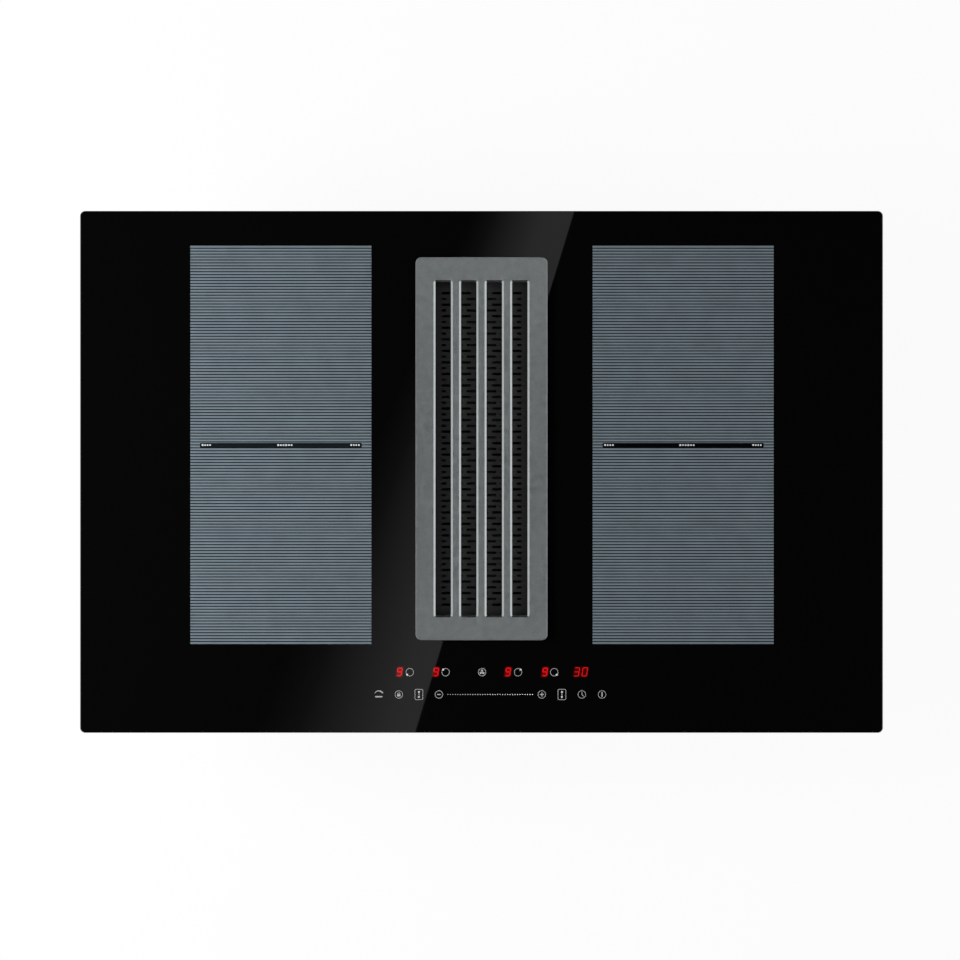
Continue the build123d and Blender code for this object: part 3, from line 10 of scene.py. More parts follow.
import bmesh
import bpy
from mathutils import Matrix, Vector


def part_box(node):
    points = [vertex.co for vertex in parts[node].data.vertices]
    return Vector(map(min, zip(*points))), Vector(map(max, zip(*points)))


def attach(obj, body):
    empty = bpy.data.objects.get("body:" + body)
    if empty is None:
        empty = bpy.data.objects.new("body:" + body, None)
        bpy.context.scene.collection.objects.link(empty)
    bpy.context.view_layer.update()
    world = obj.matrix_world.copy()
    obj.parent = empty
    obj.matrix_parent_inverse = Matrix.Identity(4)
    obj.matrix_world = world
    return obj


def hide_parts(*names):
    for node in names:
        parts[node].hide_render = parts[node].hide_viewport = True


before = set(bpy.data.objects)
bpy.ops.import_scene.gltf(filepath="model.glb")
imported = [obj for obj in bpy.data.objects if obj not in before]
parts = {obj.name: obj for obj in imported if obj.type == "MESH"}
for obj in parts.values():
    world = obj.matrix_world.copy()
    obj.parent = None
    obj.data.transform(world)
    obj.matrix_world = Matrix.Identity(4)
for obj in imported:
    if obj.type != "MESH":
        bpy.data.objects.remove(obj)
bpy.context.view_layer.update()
MM = 0.001
glass_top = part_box("glass_top")[1].z
print("frame:", len(parts), "CAD pieces, glass at", round(glass_top / MM, 1), "mm")

# %% [markdown]
# The camera hangs over the middle of the glass and looks straight down, so the hob shows as a
# plain rectangle. A long lens from far off keeps the edges of the glass from leaning. An
# orthographic camera would do that too, but it would also hide the walls inside the slots.

# %% The camera
LENS = 100
SENSOR = 36
CAMERA_XY = (-0.0015, -0.0081)
CAMERA_RISE = 2.657

lens = bpy.data.cameras.new("overhead_camera")
lens.lens, lens.sensor_width = LENS, SENSOR
lens.clip_start, lens.clip_end = 0.05, 50
camera = bpy.data.objects.new("overhead_camera", lens)
camera.location = (*CAMERA_XY, glass_top + CAMERA_RISE)
bpy.context.scene.collection.objects.link(camera)
bpy.context.scene.camera = camera
print("camera at", [round(v, 3) for v in camera.location])

# %% [markdown]
# Finishes and printed patterns are both graphs of nodes. Writing every link by hand hides the
# idea behind it, so one small class wraps a socket: arithmetic on it adds Math nodes, and one
# method adds any other node. The settings go on first, because some of them change the sockets.


# %% A class for wiring nodes
class Wire:
    """A node's output in a node tree. Arithmetic on it adds Math nodes to the tree."""

    def __init__(self, tree, socket=None):
        self.tree, self.socket = tree, socket

    def node(self, kind, settings=None, sockets=None, output=0):
        made = self.tree.nodes.new(kind)
        for name, value in (settings or {}).items():
            if name == "stops":
                ramp = made.color_ramp.elements
                while len(ramp) < len(value):
                    ramp.new(1)
                for stop, (place, colour) in zip(ramp, value):
                    stop.position, stop.color = place, colour
            else:
                setattr(made, name, value)
        for name, value in (sockets or {}).items():
            if isinstance(value, Wire):
                self.tree.links.new(value.socket, made.inputs[name])
            else:
                made.inputs[name].default_value = value
        return Wire(self.tree, made.outputs[output] if len(made.outputs) else None)

    def also(self, name):
        return Wire(self.tree, self.socket.node.outputs[name])

    def xyz(self):
        return self.node("ShaderNodeSeparateXYZ", {}, {"Vector": self})

    def maths(self, operation, *values):
        return self.node("ShaderNodeMath", {"operation": operation}, dict(enumerate(values)))

    def __add__(self, other):
        return self.maths("ADD", self, other)

    def __sub__(self, other):
        return self.maths("SUBTRACT", self, other)

    def __rsub__(self, other):
        return self.maths("SUBTRACT", other, self)

    def __mul__(self, other):
        return self.maths("MULTIPLY", self, other)

    def __truediv__(self, other):
        return self.maths("DIVIDE", self, other)

    def __rtruediv__(self, other):
        return self.maths("DIVIDE", other, self)

    def __gt__(self, other):
        return self.maths("GREATER_THAN", self, other)

    def __lt__(self, other):
        return self.maths("LESS_THAN", self, other)

    __radd__, __rmul__ = __add__, __mul__


# %% [markdown]
# Every finish starts from the same place: object coordinates, which are the real metres of the
# hob, so a grain of half a millimetre is written as such. It ends in one Principled shader.
# Numbers that are the same all over go straight on the shader's own sockets.


# %% Helpers for finishes
def grey(value):
    return (value, value, value, 1)


def tint(colour, factor=1):
    return tuple(min(1, c * factor) for c in colour) + (1,)


def start_finish(name):
    material = bpy.data.materials.new(name)
    material.use_nodes = True
    material.node_tree.nodes.clear()
    wire = Wire(material.node_tree)
    return material, wire, wire.node("ShaderNodeTexCoord").also("Object")


def close_finish(wire, **sockets):
    named = {name.replace("_", " "): value for name, value in sockets.items()}
    shader = wire.node("ShaderNodeBsdfPrincipled", {}, named)
    wire.node("ShaderNodeOutputMaterial", {}, {"Surface": shader})


def noise(place, grain, detail=2.0, stretch=None):
    """Noise whose features are about that many metres across."""
    if stretch:
        place = place.node("ShaderNodeMapping", {}, {"Vector": place, "Scale": stretch})
    return place.node(
        "ShaderNodeTexNoise", {}, {"Vector": place, "Scale": 1 / grain, "Detail": detail}
    )


def between(wire, low, high, start=0.3, end=0.7):
    """Stretches noise from its usual range to the values that a finish asks for."""
    return wire.node(
        "ShaderNodeMapRange",
        {},
        {"Value": wire, "From Min": start, "From Max": end, "To Min": low, "To Max": high},
    )


def blend_colours(factor, first, second):
    return factor.node(
        "ShaderNodeMix", {"data_type": "RGBA"}, {0: factor, 6: first, 7: second}, output=2
    )


def shades(factor, colour, dark, light):
    """One colour, between a darker and a lighter shade of it."""
    return blend_colours(factor, tint(colour, dark), tint(colour, light))


def relief(height, depth):
    """A bump of a depth in metres."""
    return height.node("ShaderNodeBump", {}, {"Height": height, "Distance": depth, "Strength": 1.0})


def dress(material, *nodes):
    """Gives a finish to CAD pieces."""
    for name in nodes:
        slots = parts[name].data.materials
        if len(slots) == 0:
            slots.append(material)
        for i in range(len(slots)):
            slots[i] = material
    print(material.name, "on", ", ".join(nodes))


# %% [markdown]
# The glass ceramic is polished and black all through. It could be true glass over a black
# plate, but no light comes back from below, so a black body with a clear surface gives the same
# picture. What shows is only the studio in it, a little uneven where it was wiped.

# %% Black glass ceramic
GLASS_BLACK = (0.0017, 0.0017, 0.0018)

glass_finish, wire, place = start_finish("black_glass_ceramic")
wiped = noise(place, 0.09, 3.0, stretch=(1.0, 0.4, 1.0))
specks = noise(place, 0.0012, 1.0)
close_finish(
    wire,
    Base_Color=shades(between(specks, 0, 1, 0.6, 0.8), GLASS_BLACK, 1, 1.6),
    Roughness=between(wiped, 0.007, 0.014),
    IOR=1.5,
)
dress(glass_finish, "glass_top")

# %% [markdown]
# The grille is cast aluminium, blasted and anodised to a satin grey. Up close it has a very
# fine grain and, over some millimetres, a faint mottle. A few bright glints are painted into
# its colour as specks, which are painted highlights. Metal with a rough surface gives the flat
# top and the bright bevels of the slots their different greys.

# %% Satin grille metal
GRILLE_GREY = (0.52, 0.557, 0.562)

grille_finish, wire, place = start_finish("satin_grille_metal")
mottle = noise(place, 0.007, 3.0)
grain = noise(place, 0.0007, 2.0)
cloud = noise(place, 0.06, 1.0)
# painted highlights: bright specks in the colour stand in for glints
painted_glints = between(noise(place, 0.0012, 0.0), 0, 0.35, 0.62, 0.74)
mixed = 0.5 * mottle + 0.25 * grain + 0.25 * cloud + painted_glints
close_finish(
    wire,
    Base_Color=shades(between(mixed, 0, 1), GRILLE_GREY, 0.88, 1.12),
    Metallic=1.0,
    Roughness=between(mottle, 0.30, 0.35),
    Normal=relief(grain, 0.00004),
)
dress(grille_finish, "inlet_grille")

# %% [markdown]
# Sheet steel in the air path is coated dark: the collar in the cut-out, the filter's frame and
# its slotted panel. A baked coating is nearly flat, with a soft orange peel that only the
# highlights show, so noise drives the bump and the roughness and hardly touches the colour.


# %% Dark coatings
def coated(name, colour, rough, peel=0.003):
    material, wire, place = start_finish(name)
    skin = noise(place, peel, 2.0)
    dust = noise(place, 0.03, 4.0)
    close_finish(
        wire,
        Base_Color=shades(between(dust, 0, 1), colour, 0.85, 1.2),
        Metallic=0.0,
        Roughness=between(skin, rough - 0.05, rough + 0.05),
        Normal=relief(skin, 0.00002),
    )
    return material


dress(coated("black_enamelled_steel", (0.012, 0.012, 0.013), 0.3), "inlet_collar")
dress(coated("dark_coated_steel", (0.018, 0.0185, 0.019), 0.45), "filter_panel", "filter_frame")
dress(coated("dark_coated_wire", (0.03, 0.03, 0.032), 0.38, peel=0.001), "filter_pulls")
# The real net is bright aluminium. Its near black colour here is painted shade, for the shadow it
# lies in below the slotted panel.
painted_shade_net_finish = coated("net_painted_shade_black", (0.008, 0.008, 0.008), 0.6)
dress(painted_shade_net_finish, "filter_mesh")

# %% [markdown]
# The casing is pressed from galvanised sheet. Zinc sets in spangles a centimetre or so across,
# each a slightly different grey. Cells of a Voronoi texture are the same kind of pattern, and a
# little noise added to their coordinates takes the straight lines out of their borders.


# %% Galvanised sheet
def galvanised(name, colour, spangle, rough):
    material, wire, place = start_finish(name)
    warp = place.node("ShaderNodeTexNoise", {}, {"Vector": place, "Scale": 0.4 / spangle}, output=1)
    bent = place.node(
        "ShaderNodeVectorMath",
        {"operation": "MULTIPLY_ADD"},
        {0: warp, 1: (spangle * 0.5,) * 3, 2: place},
    )
    cells = place.node(
        "ShaderNodeTexVoronoi", {}, {"Vector": bent, "Scale": 1 / spangle}, output=1
    )
    shade = cells.node("ShaderNodeSeparateColor", {}, {0: cells})
    streak = noise(place, 0.0015, 2.0, stretch=(0.15, 1.0, 1.0))
    close_finish(
        wire,
        Base_Color=shades(shade, colour, 0.82, 1.14),
        Metallic=1.0,
        Roughness=between(shade.also("Green"), rough - 0.08, rough + 0.08, 0, 1),
        Normal=relief(streak, 0.00001),
    )
    return material


dress(galvanised("galvanised_sheet", (0.50, 0.51, 0.52), 0.011, 0.36), "hob_casing")
dress(
    galvanised("zinc_plate", (0.52, 0.52, 0.50), 0.004, 0.3),
    "clamp_brackets", "coil_bridges_left", "coil_bridges_right", "blower_motor",
)

# %% [markdown]
# Turned and drawn steel is finer: screws, pins and springs show only short scratches. The
# aluminium sheet of the coil carriers and the heat sinks is rolled, so its lines all run one
# way. The same recipe makes both, with the noise stretched along the rolling direction.


# %% Bright metals
def drawn_metal(name, colour, rough, along=(1.0, 1.0, 0.1)):
    material, wire, place = start_finish(name)
    lines = noise(place, 0.0006, 3.0, stretch=along)
    stain = noise(place, 0.02, 2.0)
    close_finish(
        wire,
        Base_Color=shades(between(stain, 0, 1), colour, 0.9, 1.06),
        Metallic=1.0,
        Roughness=between(lines, rough - 0.06, rough + 0.06),
        Normal=relief(lines, 0.000006),
    )
    return material


dress(
    drawn_metal("ground_steel", (0.56, 0.56, 0.57), 0.24),
    "motor_shaft", "flap_pin", "housing_screws",
)
dress(
    drawn_metal("zinc_screw_steel", (0.58, 0.57, 0.54), 0.28),
    "clamp_screw_front_left", "clamp_screw_rear_left",
    "clamp_screw_front_right", "clamp_screw_rear_right",
)
dress(drawn_metal("wound_spring_steel", (0.5, 0.5, 0.51), 0.3), "coil_springs", "touch_springs")
dress(
    drawn_metal("rolled_aluminium", (0.66, 0.67, 0.68), 0.32, along=(1.0, 0.08, 1.0)),
    "coil_carrier_left", "coil_carrier_right", "heat_sink_left", "heat_sink_right",
)

# %% [markdown]
# Most of the extractor is moulded plastic. The mould is spark eroded, which leaves a fine even
# stipple, and the melt leaves slow clouds where it flowed. One recipe takes the colour, the
# size of the stipple and the sheen, so the tub, the fan and the cup stay of one family.


# %% Moulded plastics
def moulded(name, colour, rough=0.5, stipple=0.0009, depth=0.00004):
    material, wire, place = start_finish(name)
    bumps = noise(place, stipple, 1.0)
    flow = noise(place, 0.05, 3.0, stretch=(1.0, 1.0, 0.5))
    fine = noise(place, 0.004, 2.0)
    close_finish(
        wire,
        Base_Color=shades(between(flow, 0, 1), colour, 0.9, 1.1),
        Roughness=between(fine, rough - 0.06, rough + 0.06),
        Normal=relief(bumps, depth),
    )
    return material


tub_plastic = moulded("black_box_plastic", (0.028, 0.028, 0.030), 0.5)
dress(tub_plastic, "blower_tub", "blower_lid", "inlet_nozzle", "volute_wall")
dress(moulded("dark_spigot_plastic", (0.05, 0.05, 0.052), 0.46), "outlet_spigot", "backdraft_flap")
dress(moulded("black_shaft_plastic", (0.018, 0.018, 0.019), 0.5), "air_shaft")
dress(moulded("dark_tray_plastic", (0.045, 0.045, 0.048), 0.4, stipple=0.0006), "drip_tray")
dress(moulded("grey_impeller_plastic", (0.13, 0.13, 0.135), 0.42), "impeller")
dress(moulded("pale_cup_plastic", (0.34, 0.34, 0.35), 0.35, stipple=0.0006), "overflow_cup")
dress(
    moulded("black_fan_plastic", (0.03, 0.03, 0.031), 0.4),
    "fan_frame_left", "fan_frame_right", "fan_rotor_left", "fan_rotor_right",
)
dress(moulded("pale_bracket_plastic", (0.5, 0.5, 0.49), 0.45), "control_bracket")
dress(
    moulded("blue_component_plastic", (0.05, 0.055, 0.09), 0.35),
    "power_components_left", "power_components_right",
)
dress(moulded("ivory_terminal_plastic", (0.62, 0.6, 0.55), 0.45), "terminal_block")
dress(moulded("grey_gland_plastic", (0.16, 0.16, 0.165), 0.4), "cable_gland")
dress(moulded("red_display_window", (0.02, 0.004, 0.004), 0.15, depth=0.000005), "display_modules")

# %% [markdown]
# The seals are foam and silicone: quite black, dull, with open cells a fraction of a millimetre
# across. Voronoi distance gives round pits, and used as a bump it needs no geometry. The same
# distance also paints the pits darker than their rims, as painted shade.


# %% Foam and silicone
def spongy(name, colour, cell, depth):
    material, wire, place = start_finish(name)
    pits = place.node("ShaderNodeTexVoronoi", {}, {"Vector": place, "Scale": 1 / cell})
    close_finish(
        wire,
        # the pit bottoms are painted darker than the rims: painted shade
        Base_Color=shades(between(pits, 0, 1, 0.1, 0.6), colour, 0.6, 1.2),
        Roughness=between(noise(place, 0.01), 0.75, 0.9),
        Normal=relief(pits, depth),
    )
    return material


dress(spongy("black_foam", (0.02, 0.02, 0.02), 0.0011, 0.0002), "worktop_gasket", "shaft_seal")
dress(
    spongy("black_silicone", (0.028, 0.028, 0.028), 0.004, 0.00002), "glass_bond", "grille_pads"
)

# %% [markdown]
# Between the coils and the glass lies pressed mica, flakes of a pale mineral in a binder. Cells
# of a Voronoi texture give each flake its own shade. Ferrite and sensors are fired and matt.

# %% Mica, ferrite and ceramic
mica_finish, wire, place = start_finish("pressed_mica")
flakes = place.node("ShaderNodeTexVoronoi", {}, {"Vector": place, "Scale": 260}, output=1)
flake = flakes.node("ShaderNodeSeparateColor", {}, {0: flakes})
close_finish(
    wire,
    Base_Color=blend_colours(flake, (0.42, 0.36, 0.26, 1), (0.66, 0.6, 0.48, 1)),
    Roughness=between(flake, 0.3, 0.55, 0, 1),
    Normal=relief(flake, 0.00005),
)
dress(mica_finish, "mica_sheet_left", "mica_sheet_right")
dress(moulded("sintered_ferrite", (0.035, 0.035, 0.038), 0.6, stipple=0.0004), "ferrite_bars")
dress(moulded("white_sensor_ceramic", (0.78, 0.77, 0.73), 0.35, stipple=0.0005), "coil_sensors")

# %% [markdown]
# A circuit board is green lacquer over copper tracks. The tracks run along the board in
# straight lines, which a wave texture gives, broken up by blocks of noise.

# %% Circuit boards
board_finish, wire, place = start_finish("green_circuit_board")
stripes = place.node("ShaderNodeTexWave", {}, {"Vector": place, "Scale": 120.0}, output=1)
blocks = noise(place, 0.012, 0.0)
tracks = stripes * (blocks > 0.5)
close_finish(
    wire,
    Base_Color=blend_colours(tracks, (0.012, 0.07, 0.03, 1), (0.03, 0.14, 0.05, 1)),
    Roughness=between(blocks, 0.28, 0.4),
    Normal=relief(tracks, 0.00003),
)
dress(board_finish, "power_board_left", "power_board_right", "control_board")

# %% [markdown]
# Each cooking zone is printed on the glass as fine grey lines, 136 to a zone, so that pans slide
# without showing scratches. Drawn in a material, they would lose their crisp ends once the model
# leaves Blender. A Geometry Nodes tree sets one thin bar on each point of a line of points, and
# the count, the pitch and the size of a bar are inputs by name.


# %% A tree that repeats a printed bar
def repeat_tree(name, *extra):
    tree = bpy.data.node_groups.new(name, "GeometryNodeTree")
    for label, kind in (
        *extra,
        ("Count", "NodeSocketInt"),
        ("Pitch", "NodeSocketVector"),
        ("First", "NodeSocketVector"),
        ("Size", "NodeSocketVector"),
        ("Turn", "NodeSocketFloat"),
        ("Finish", "NodeSocketMaterial"),
    ):
        tree.interface.new_socket(label, in_out="INPUT", socket_type=kind)
    tree.interface.new_socket("Geometry", in_out="OUTPUT", socket_type="NodeSocketGeometry")
    given = Wire(tree).node("NodeGroupInput")
    return tree, given


def end_tree(given, instances):
    solid = given.node("GeometryNodeRealizeInstances", {}, {"Geometry": instances})
    painted = given.node(
        "GeometryNodeSetMaterial", {}, {"Geometry": solid, "Material": given.also("Finish")}
    )
    given.node("NodeGroupOutput", {}, {"Geometry": painted})


def row_of(given, shape):
    points = given.node(
        "GeometryNodeMeshLine",
        {"mode": "OFFSET", "count_mode": "TOTAL"},
        {
            "Count": given.also("Count"),
            "Start Location": given.also("First"),
            "Offset": given.also("Pitch"),
        },
    )
    turned = given.node("ShaderNodeCombineXYZ", {}, {"Z": given.also("Turn")})
    return given.node(
        "GeometryNodeInstanceOnPoints",
        {},
        {"Points": points, "Instance": shape, "Rotation": turned},
    )


def block(given):
    return given.node("GeometryNodeMeshCube", {}, {"Size": given.also("Size")})


bar_row, given = repeat_tree("row_of_bars")
end_tree(given, row_of(given, block(given)))
print("a tree with the inputs", ", ".join(given.tree.nodes[0].outputs.keys()[:-1]))

# %% [markdown]
# A tree works only in a modifier, and a modifier is lost once the model leaves Blender. So a
# carrier object wears it for a moment, and what it makes is kept as a plain mesh. An input is set
# by its socket's identifier, before the tree first runs.


# %% From a tree to a plain mesh
def in_metres(*values):
    return tuple(v * MM for v in values)


def show(name, mesh):
    piece = bpy.data.objects.new(name, mesh)
    bpy.context.scene.collection.objects.link(piece)
    return piece


def grow(name, tree, **inputs):
    """Runs a Geometry Nodes tree and keeps what it makes as a plain mesh."""
    carrier = show(name + "_carrier", bpy.data.meshes.new(name + "_carrier"))
    modifier = carrier.modifiers.new("grow", "NODES")
    modifier.node_group = tree
    for socket in tree.interface.items_tree:
        if socket.in_out == "INPUT" and socket.name in inputs:
            modifier[socket.identifier] = inputs[socket.name]
    evaluated = carrier.evaluated_get(bpy.context.evaluated_depsgraph_get())
    mesh = bpy.data.meshes.new_from_object(evaluated)
    mesh.name = name
    carrier.modifiers.remove(modifier)
    bpy.data.objects.remove(carrier)
    print(name, "has", len(mesh.polygons), "faces")
    return show(name, mesh)


def keep(piece, body="housing"):
    """The piece moves with that body."""
    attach(piece, body)


# %% [markdown]
# The print is a ceramic ink, fired into the glass: a blue grey, slightly rough, a few
# hundredths of a millimetre thick.

# %% The printed zones
ZONE_X = 200.4
ZONE_SHIFT = 0.5
ZONE_Y = 26.9
ZONE_SIZE = (180.4, 396.8)
LINE_COUNT = 136
LINE_WIDTH = 2.0
INK = 0.05
ZONE_INK = (0.129, 0.164, 0.188)


def inked(name, colour, rough=0.45):
    material, wire, place = start_finish(name)
    grit = noise(place, 0.0008, 1.0)
    patch = noise(place, 0.02, 2.0)
    close_finish(
        wire,
        Base_Color=shades(between(patch, 0, 1), colour, 0.93, 1.07),
        Roughness=between(grit, rough - 0.06, rough + 0.06),
        Normal=relief(grit, 0.00001),
    )
    return material


zone_ink = inked("zone_ink", ZONE_INK)
line_pitch = (ZONE_SIZE[1] - LINE_WIDTH) / (LINE_COUNT - 1)
for side, word in ((-1, "left"), (1, "right")):
    zone = grow(
        "zone_lines_" + word,
        bar_row,
        Count=LINE_COUNT,
        Pitch=in_metres(0, line_pitch, 0),
        First=(
            (ZONE_SHIFT + side * ZONE_X) * MM,
            (ZONE_Y - ZONE_SIZE[1] / 2 + LINE_WIDTH / 2) * MM,
            glass_top + INK / 2 * MM,
        ),
        Size=in_metres(ZONE_SIZE[0], LINE_WIDTH, INK),
        Finish=zone_ink,
    )
    keep(zone)


# %% [markdown]
# The rest of the print is small flat shapes: rings, bars, dots and figures. Fonts or curves
# would do, but each shape here is a few points, so a function turns an outline into a thin
# closed plate. A stroke is drawn as the outline of a line with a width.


# %% Flat printed shapes
class Print:
    """Collects flat shapes in millimetres and makes one thin mesh of them."""

    def __init__(self, name, material, bottom=0.0, top=INK, base=glass_top):
        self.name, self.material = name, material
        self.low, self.high = base + bottom * MM, base + top * MM
        self.work = bmesh.new()

    def plate(self, outline, hole=None):
        """A plate with that outline, or the band between an outline and a hole."""
        rings = [
            [self.work.verts.new((x * MM, y * MM, z)) for x, y in line]
            for line in ([outline] if hole is None else [outline, hole])
            for z in (self.low, self.high)
        ]
        low, high, *inside = rings
        faces = self.work.faces
        for i in range(len(outline)):
            j = (i + 1) % len(outline)
            faces.new((low[i], low[j], high[j], high[i]))
            if inside:
                inner_low, inner_high = inside
                faces.new((inner_low[j], inner_low[i], inner_high[i], inner_high[j]))
                faces.new((high[i], high[j], inner_high[j], inner_high[i]))
                faces.new((low[j], low[i], inner_low[i], inner_low[j]))
        if not inside:
            faces.new(high)
            faces.new(low[::-1])

    def disc(self, x, y, radius, sides=20):
        self.plate(circle_points(x, y, radius, sides))

    def ring(self, x, y, radius, stroke, sides=40):
        outer = circle_points(x, y, radius + stroke / 2, sides)
        self.plate(outer, circle_points(x, y, radius - stroke / 2, sides))

    def arc(self, x, y, radius, start, end, widths, sides=16):
        """A band round part of a circle whose width goes from the first to the second value."""
        outer, inner = [], []
        for i in range(sides + 1):
            share = i / sides
            angle = radians(start + (end - start) * share)
            half = (widths[0] + (widths[1] - widths[0]) * share) / 2
            outer.append((x + (radius + half) * cos(angle), y + (radius + half) * sin(angle)))
            inner.append((x + (radius - half) * cos(angle), y + (radius - half) * sin(angle)))
        self.plate(outer + inner[::-1])

    def bar(self, x1, y1, x2, y2, width):
        length = hypot(x2 - x1, y2 - y1)
        dx, dy = (x2 - x1) / length * width / 2, (y2 - y1) / length * width / 2
        self.plate([(x1 + dy, y1 - dx), (x2 + dy, y2 - dx), (x2 - dy, y2 + dx), (x1 - dy, y1 + dx)])

    def rounded(self, x, y, width, height, radius, stroke=None):
        hole = stroke and rounded_points(
            x, y, width - 2 * stroke, height - 2 * stroke, max(radius - stroke, 0.1)
        )
        self.plate(rounded_points(x, y, width, height, radius), hole)

    def finish(self):
        mesh = bpy.data.meshes.new(self.name)
        bmesh.ops.recalc_face_normals(self.work, faces=self.work.faces)
        self.work.to_mesh(mesh)
        self.work.free()
        mesh.materials.append(self.material)
        print(self.name, "has", len(mesh.polygons), "faces")
        keep(show(self.name, mesh))


def circle_points(x, y, radius, sides):
    turns = [2 * pi * i / sides for i in range(sides)]
    return [(x + radius * cos(a), y + radius * sin(a)) for a in turns]


def rounded_points(x, y, width, height, radius, steps=5):
    points = []
    for quarter, (sx, sy) in enumerate(((1, 1), (-1, 1), (-1, -1), (1, -1))):
        cx, cy = x + sx * (width / 2 - radius), y + sy * (height / 2 - radius)
        for i in range(steps + 1):
            angle = pi / 2 * (quarter + i / steps)
            points.append((cx + radius * cos(angle), cy + radius * sin(angle)))
    return points


# %% [markdown]
# Across the middle of each zone runs a dark bar that parts its front half from its rear half,
# slate on the left and black on the right. Small white marks at its ends and in its middle say
# where a small pan stands.

# %% Centre bars of the zones
BAR_Y, BAR_HEIGHT, BAR_ROUND, BAR_TOP = 26.55, 4.5, 1.2, 0.1
MARK_Y, MARK_ROUND, MARK_TOP = 26.8, 0.4, 0.14
# heights of the marks in a group, where 0 stands for a round dot
END_GROUP, MIDDLE_GROUP = (0, 1.6, 1.6, 1.6), (1.9, 1.5, 1.5, 1.9, 1.5, 1.5)
# the reach of each bar, and of its marks to the left, to the right and in the middle
CENTRE_BARS = {
    "left": ((-280.6, -119.3), (-279.1, -269.2), (-131, -121), (-203.9, -187.9)),
    "right": ((120.6, 281.2), (121.9, 132.2), (269.5, 279.5), (196.8, 212.7)),
}
BAR_INKS = {
    "left": inked("slate_ink", (0.0065, 0.0105, 0.0125), 0.12),
    "right": inked("black_ink", (0.001, 0.0013, 0.0025), 0.12),
}


def draw_marks(sheet, reach, heights, share):
    start, end = reach
    step = (end - start) / len(heights)
    for i, height in enumerate(heights):
        x = start + step * (i + 0.5)
        if height:
            sheet.rounded(x, MARK_Y - 0.1, step * share, height, MARK_ROUND)
        else:
            sheet.disc(x, MARK_Y, 1.0)


marks = Print("zone_marks", inked("white_ink", (0.62, 0.62, 0.62)), BAR_TOP, MARK_TOP)
for side, ((start, end), left_marks, right_marks, middle_marks) in CENTRE_BARS.items():
    bar = Print("zone_bar_" + side, BAR_INKS[side], 0, BAR_TOP)
    bar.rounded((start + end) / 2, BAR_Y, end - start, BAR_HEIGHT, BAR_ROUND)
    bar.finish()
    draw_marks(marks, left_marks, END_GROUP, 0.62)
    draw_marks(marks, right_marks, END_GROUP, 0.62)
    draw_marks(marks, middle_marks, MIDDLE_GROUP, 0.66)
marks.finish()

# %% [markdown]
# The controls are two rows at the front edge: a figure and a position ring for each of the four
# coils, a key for the fan, a timer, and below them the slider between minus and plus. The
# symbols are drawn with the shapes above, in a paler ink.

# %% Symbols of the controls
UPPER_Y, LOWER_Y = -199.6, -221.8
KEY_RADIUS, STROKE = 3.75, 0.47
LAMP_X, LOCK_X, MINUS_X, FAN_X = -102.4, -82.4, -42.4, 0.5
PLUS_X, CLOCK_X, PAUSE_X = 60.1, 100.0, 120.1
FRAMES_X = (-62.4, 80.1)
# the ring of each coil, and the corner that its bright dot sits in
COIL_RINGS = ((-71.5, (-1, -1)), (-35.7, (-1, 1)), (36.4, (1, 1)), (72.4, (1, -1)))
# points round a blade of the fan, by angle and by distance from the hub
BLADE = ((-1.2, 0.5), (-0.75, 1.7), (-0.35, 2.6), (0.1, 2.75), (0.5, 2.2), (0.75, 1.2))

symbols = Print("control_symbols", inked("symbol_ink", (0.42, 0.42, 0.425)))
for x, _ in (*COIL_RINGS, (FAN_X, None)):
    symbols.ring(x, UPPER_Y, KEY_RADIUS, STROKE)
for x in (LOCK_X, MINUS_X, PLUS_X, CLOCK_X, PAUSE_X):
    symbols.ring(x, LOWER_Y, KEY_RADIUS, STROKE)

# fan: three broad blades about a hub
for turn in (90, 210, 330):
    tip = radians(turn)
    symbols.plate([
        (FAN_X + reach * cos(tip + swing), UPPER_Y + reach * sin(tip + swing))
        for swing, reach in BLADE
    ])
symbols.disc(FAN_X, UPPER_Y, 0.7)

# lock: a body with a shackle
symbols.rounded(LOCK_X, LOWER_Y - 0.8, 3.4, 2.3, 0.4)
symbols.arc(LOCK_X, LOWER_Y + 0.4, 1.15, 0, 180, (0.55, 0.55))

# linked zones: a frame with two dots that fine dashes join
for x in FRAMES_X:
    symbols.rounded(x, LOWER_Y, 8.3, 10.8, 1.5, STROKE)
    for y in (-0.8, 0.0, 0.8):
        symbols.bar(x - 0.8, LOWER_Y + y, x + 0.8, LOWER_Y + y, 0.36)

# minus and plus
symbols.bar(MINUS_X - 1.7, LOWER_Y, MINUS_X + 1.7, LOWER_Y, 0.9)
symbols.bar(PLUS_X - 1.9, LOWER_Y, PLUS_X + 1.9, LOWER_Y, 0.9)
symbols.bar(PLUS_X, LOWER_Y - 2, PLUS_X, LOWER_Y - 0.45, 0.9)
symbols.bar(PLUS_X, LOWER_Y + 0.45, PLUS_X, LOWER_Y + 2, 0.9)

# clock: two hands
symbols.bar(CLOCK_X, LOWER_Y, CLOCK_X, LOWER_Y + 2.5, 0.7)
symbols.bar(CLOCK_X, LOWER_Y, CLOCK_X + 1.6, LOWER_Y - 1.8, 0.7)

# pause bar
symbols.bar(PAUSE_X, LOWER_Y - 2.3, PAUSE_X, LOWER_Y + 2.3, 1.1)

# key lamp: a crescent over a short bar
symbols.arc(LAMP_X, LOWER_Y - 1.0, 4.6, 150, 30, (0.5, 1.3))
symbols.rounded(LAMP_X, LOWER_Y - 2.2, 7.2, 1.3, 0.5)
symbols.finish()

# %% [markdown]
# A brighter dot on each ring says which coil it belongs to, and two dots stand in each frame of
# the linked zones.

# %% Bright dots
RING_DOT_OUT, FRAME_DOT_OUT = 2.55, 2.5

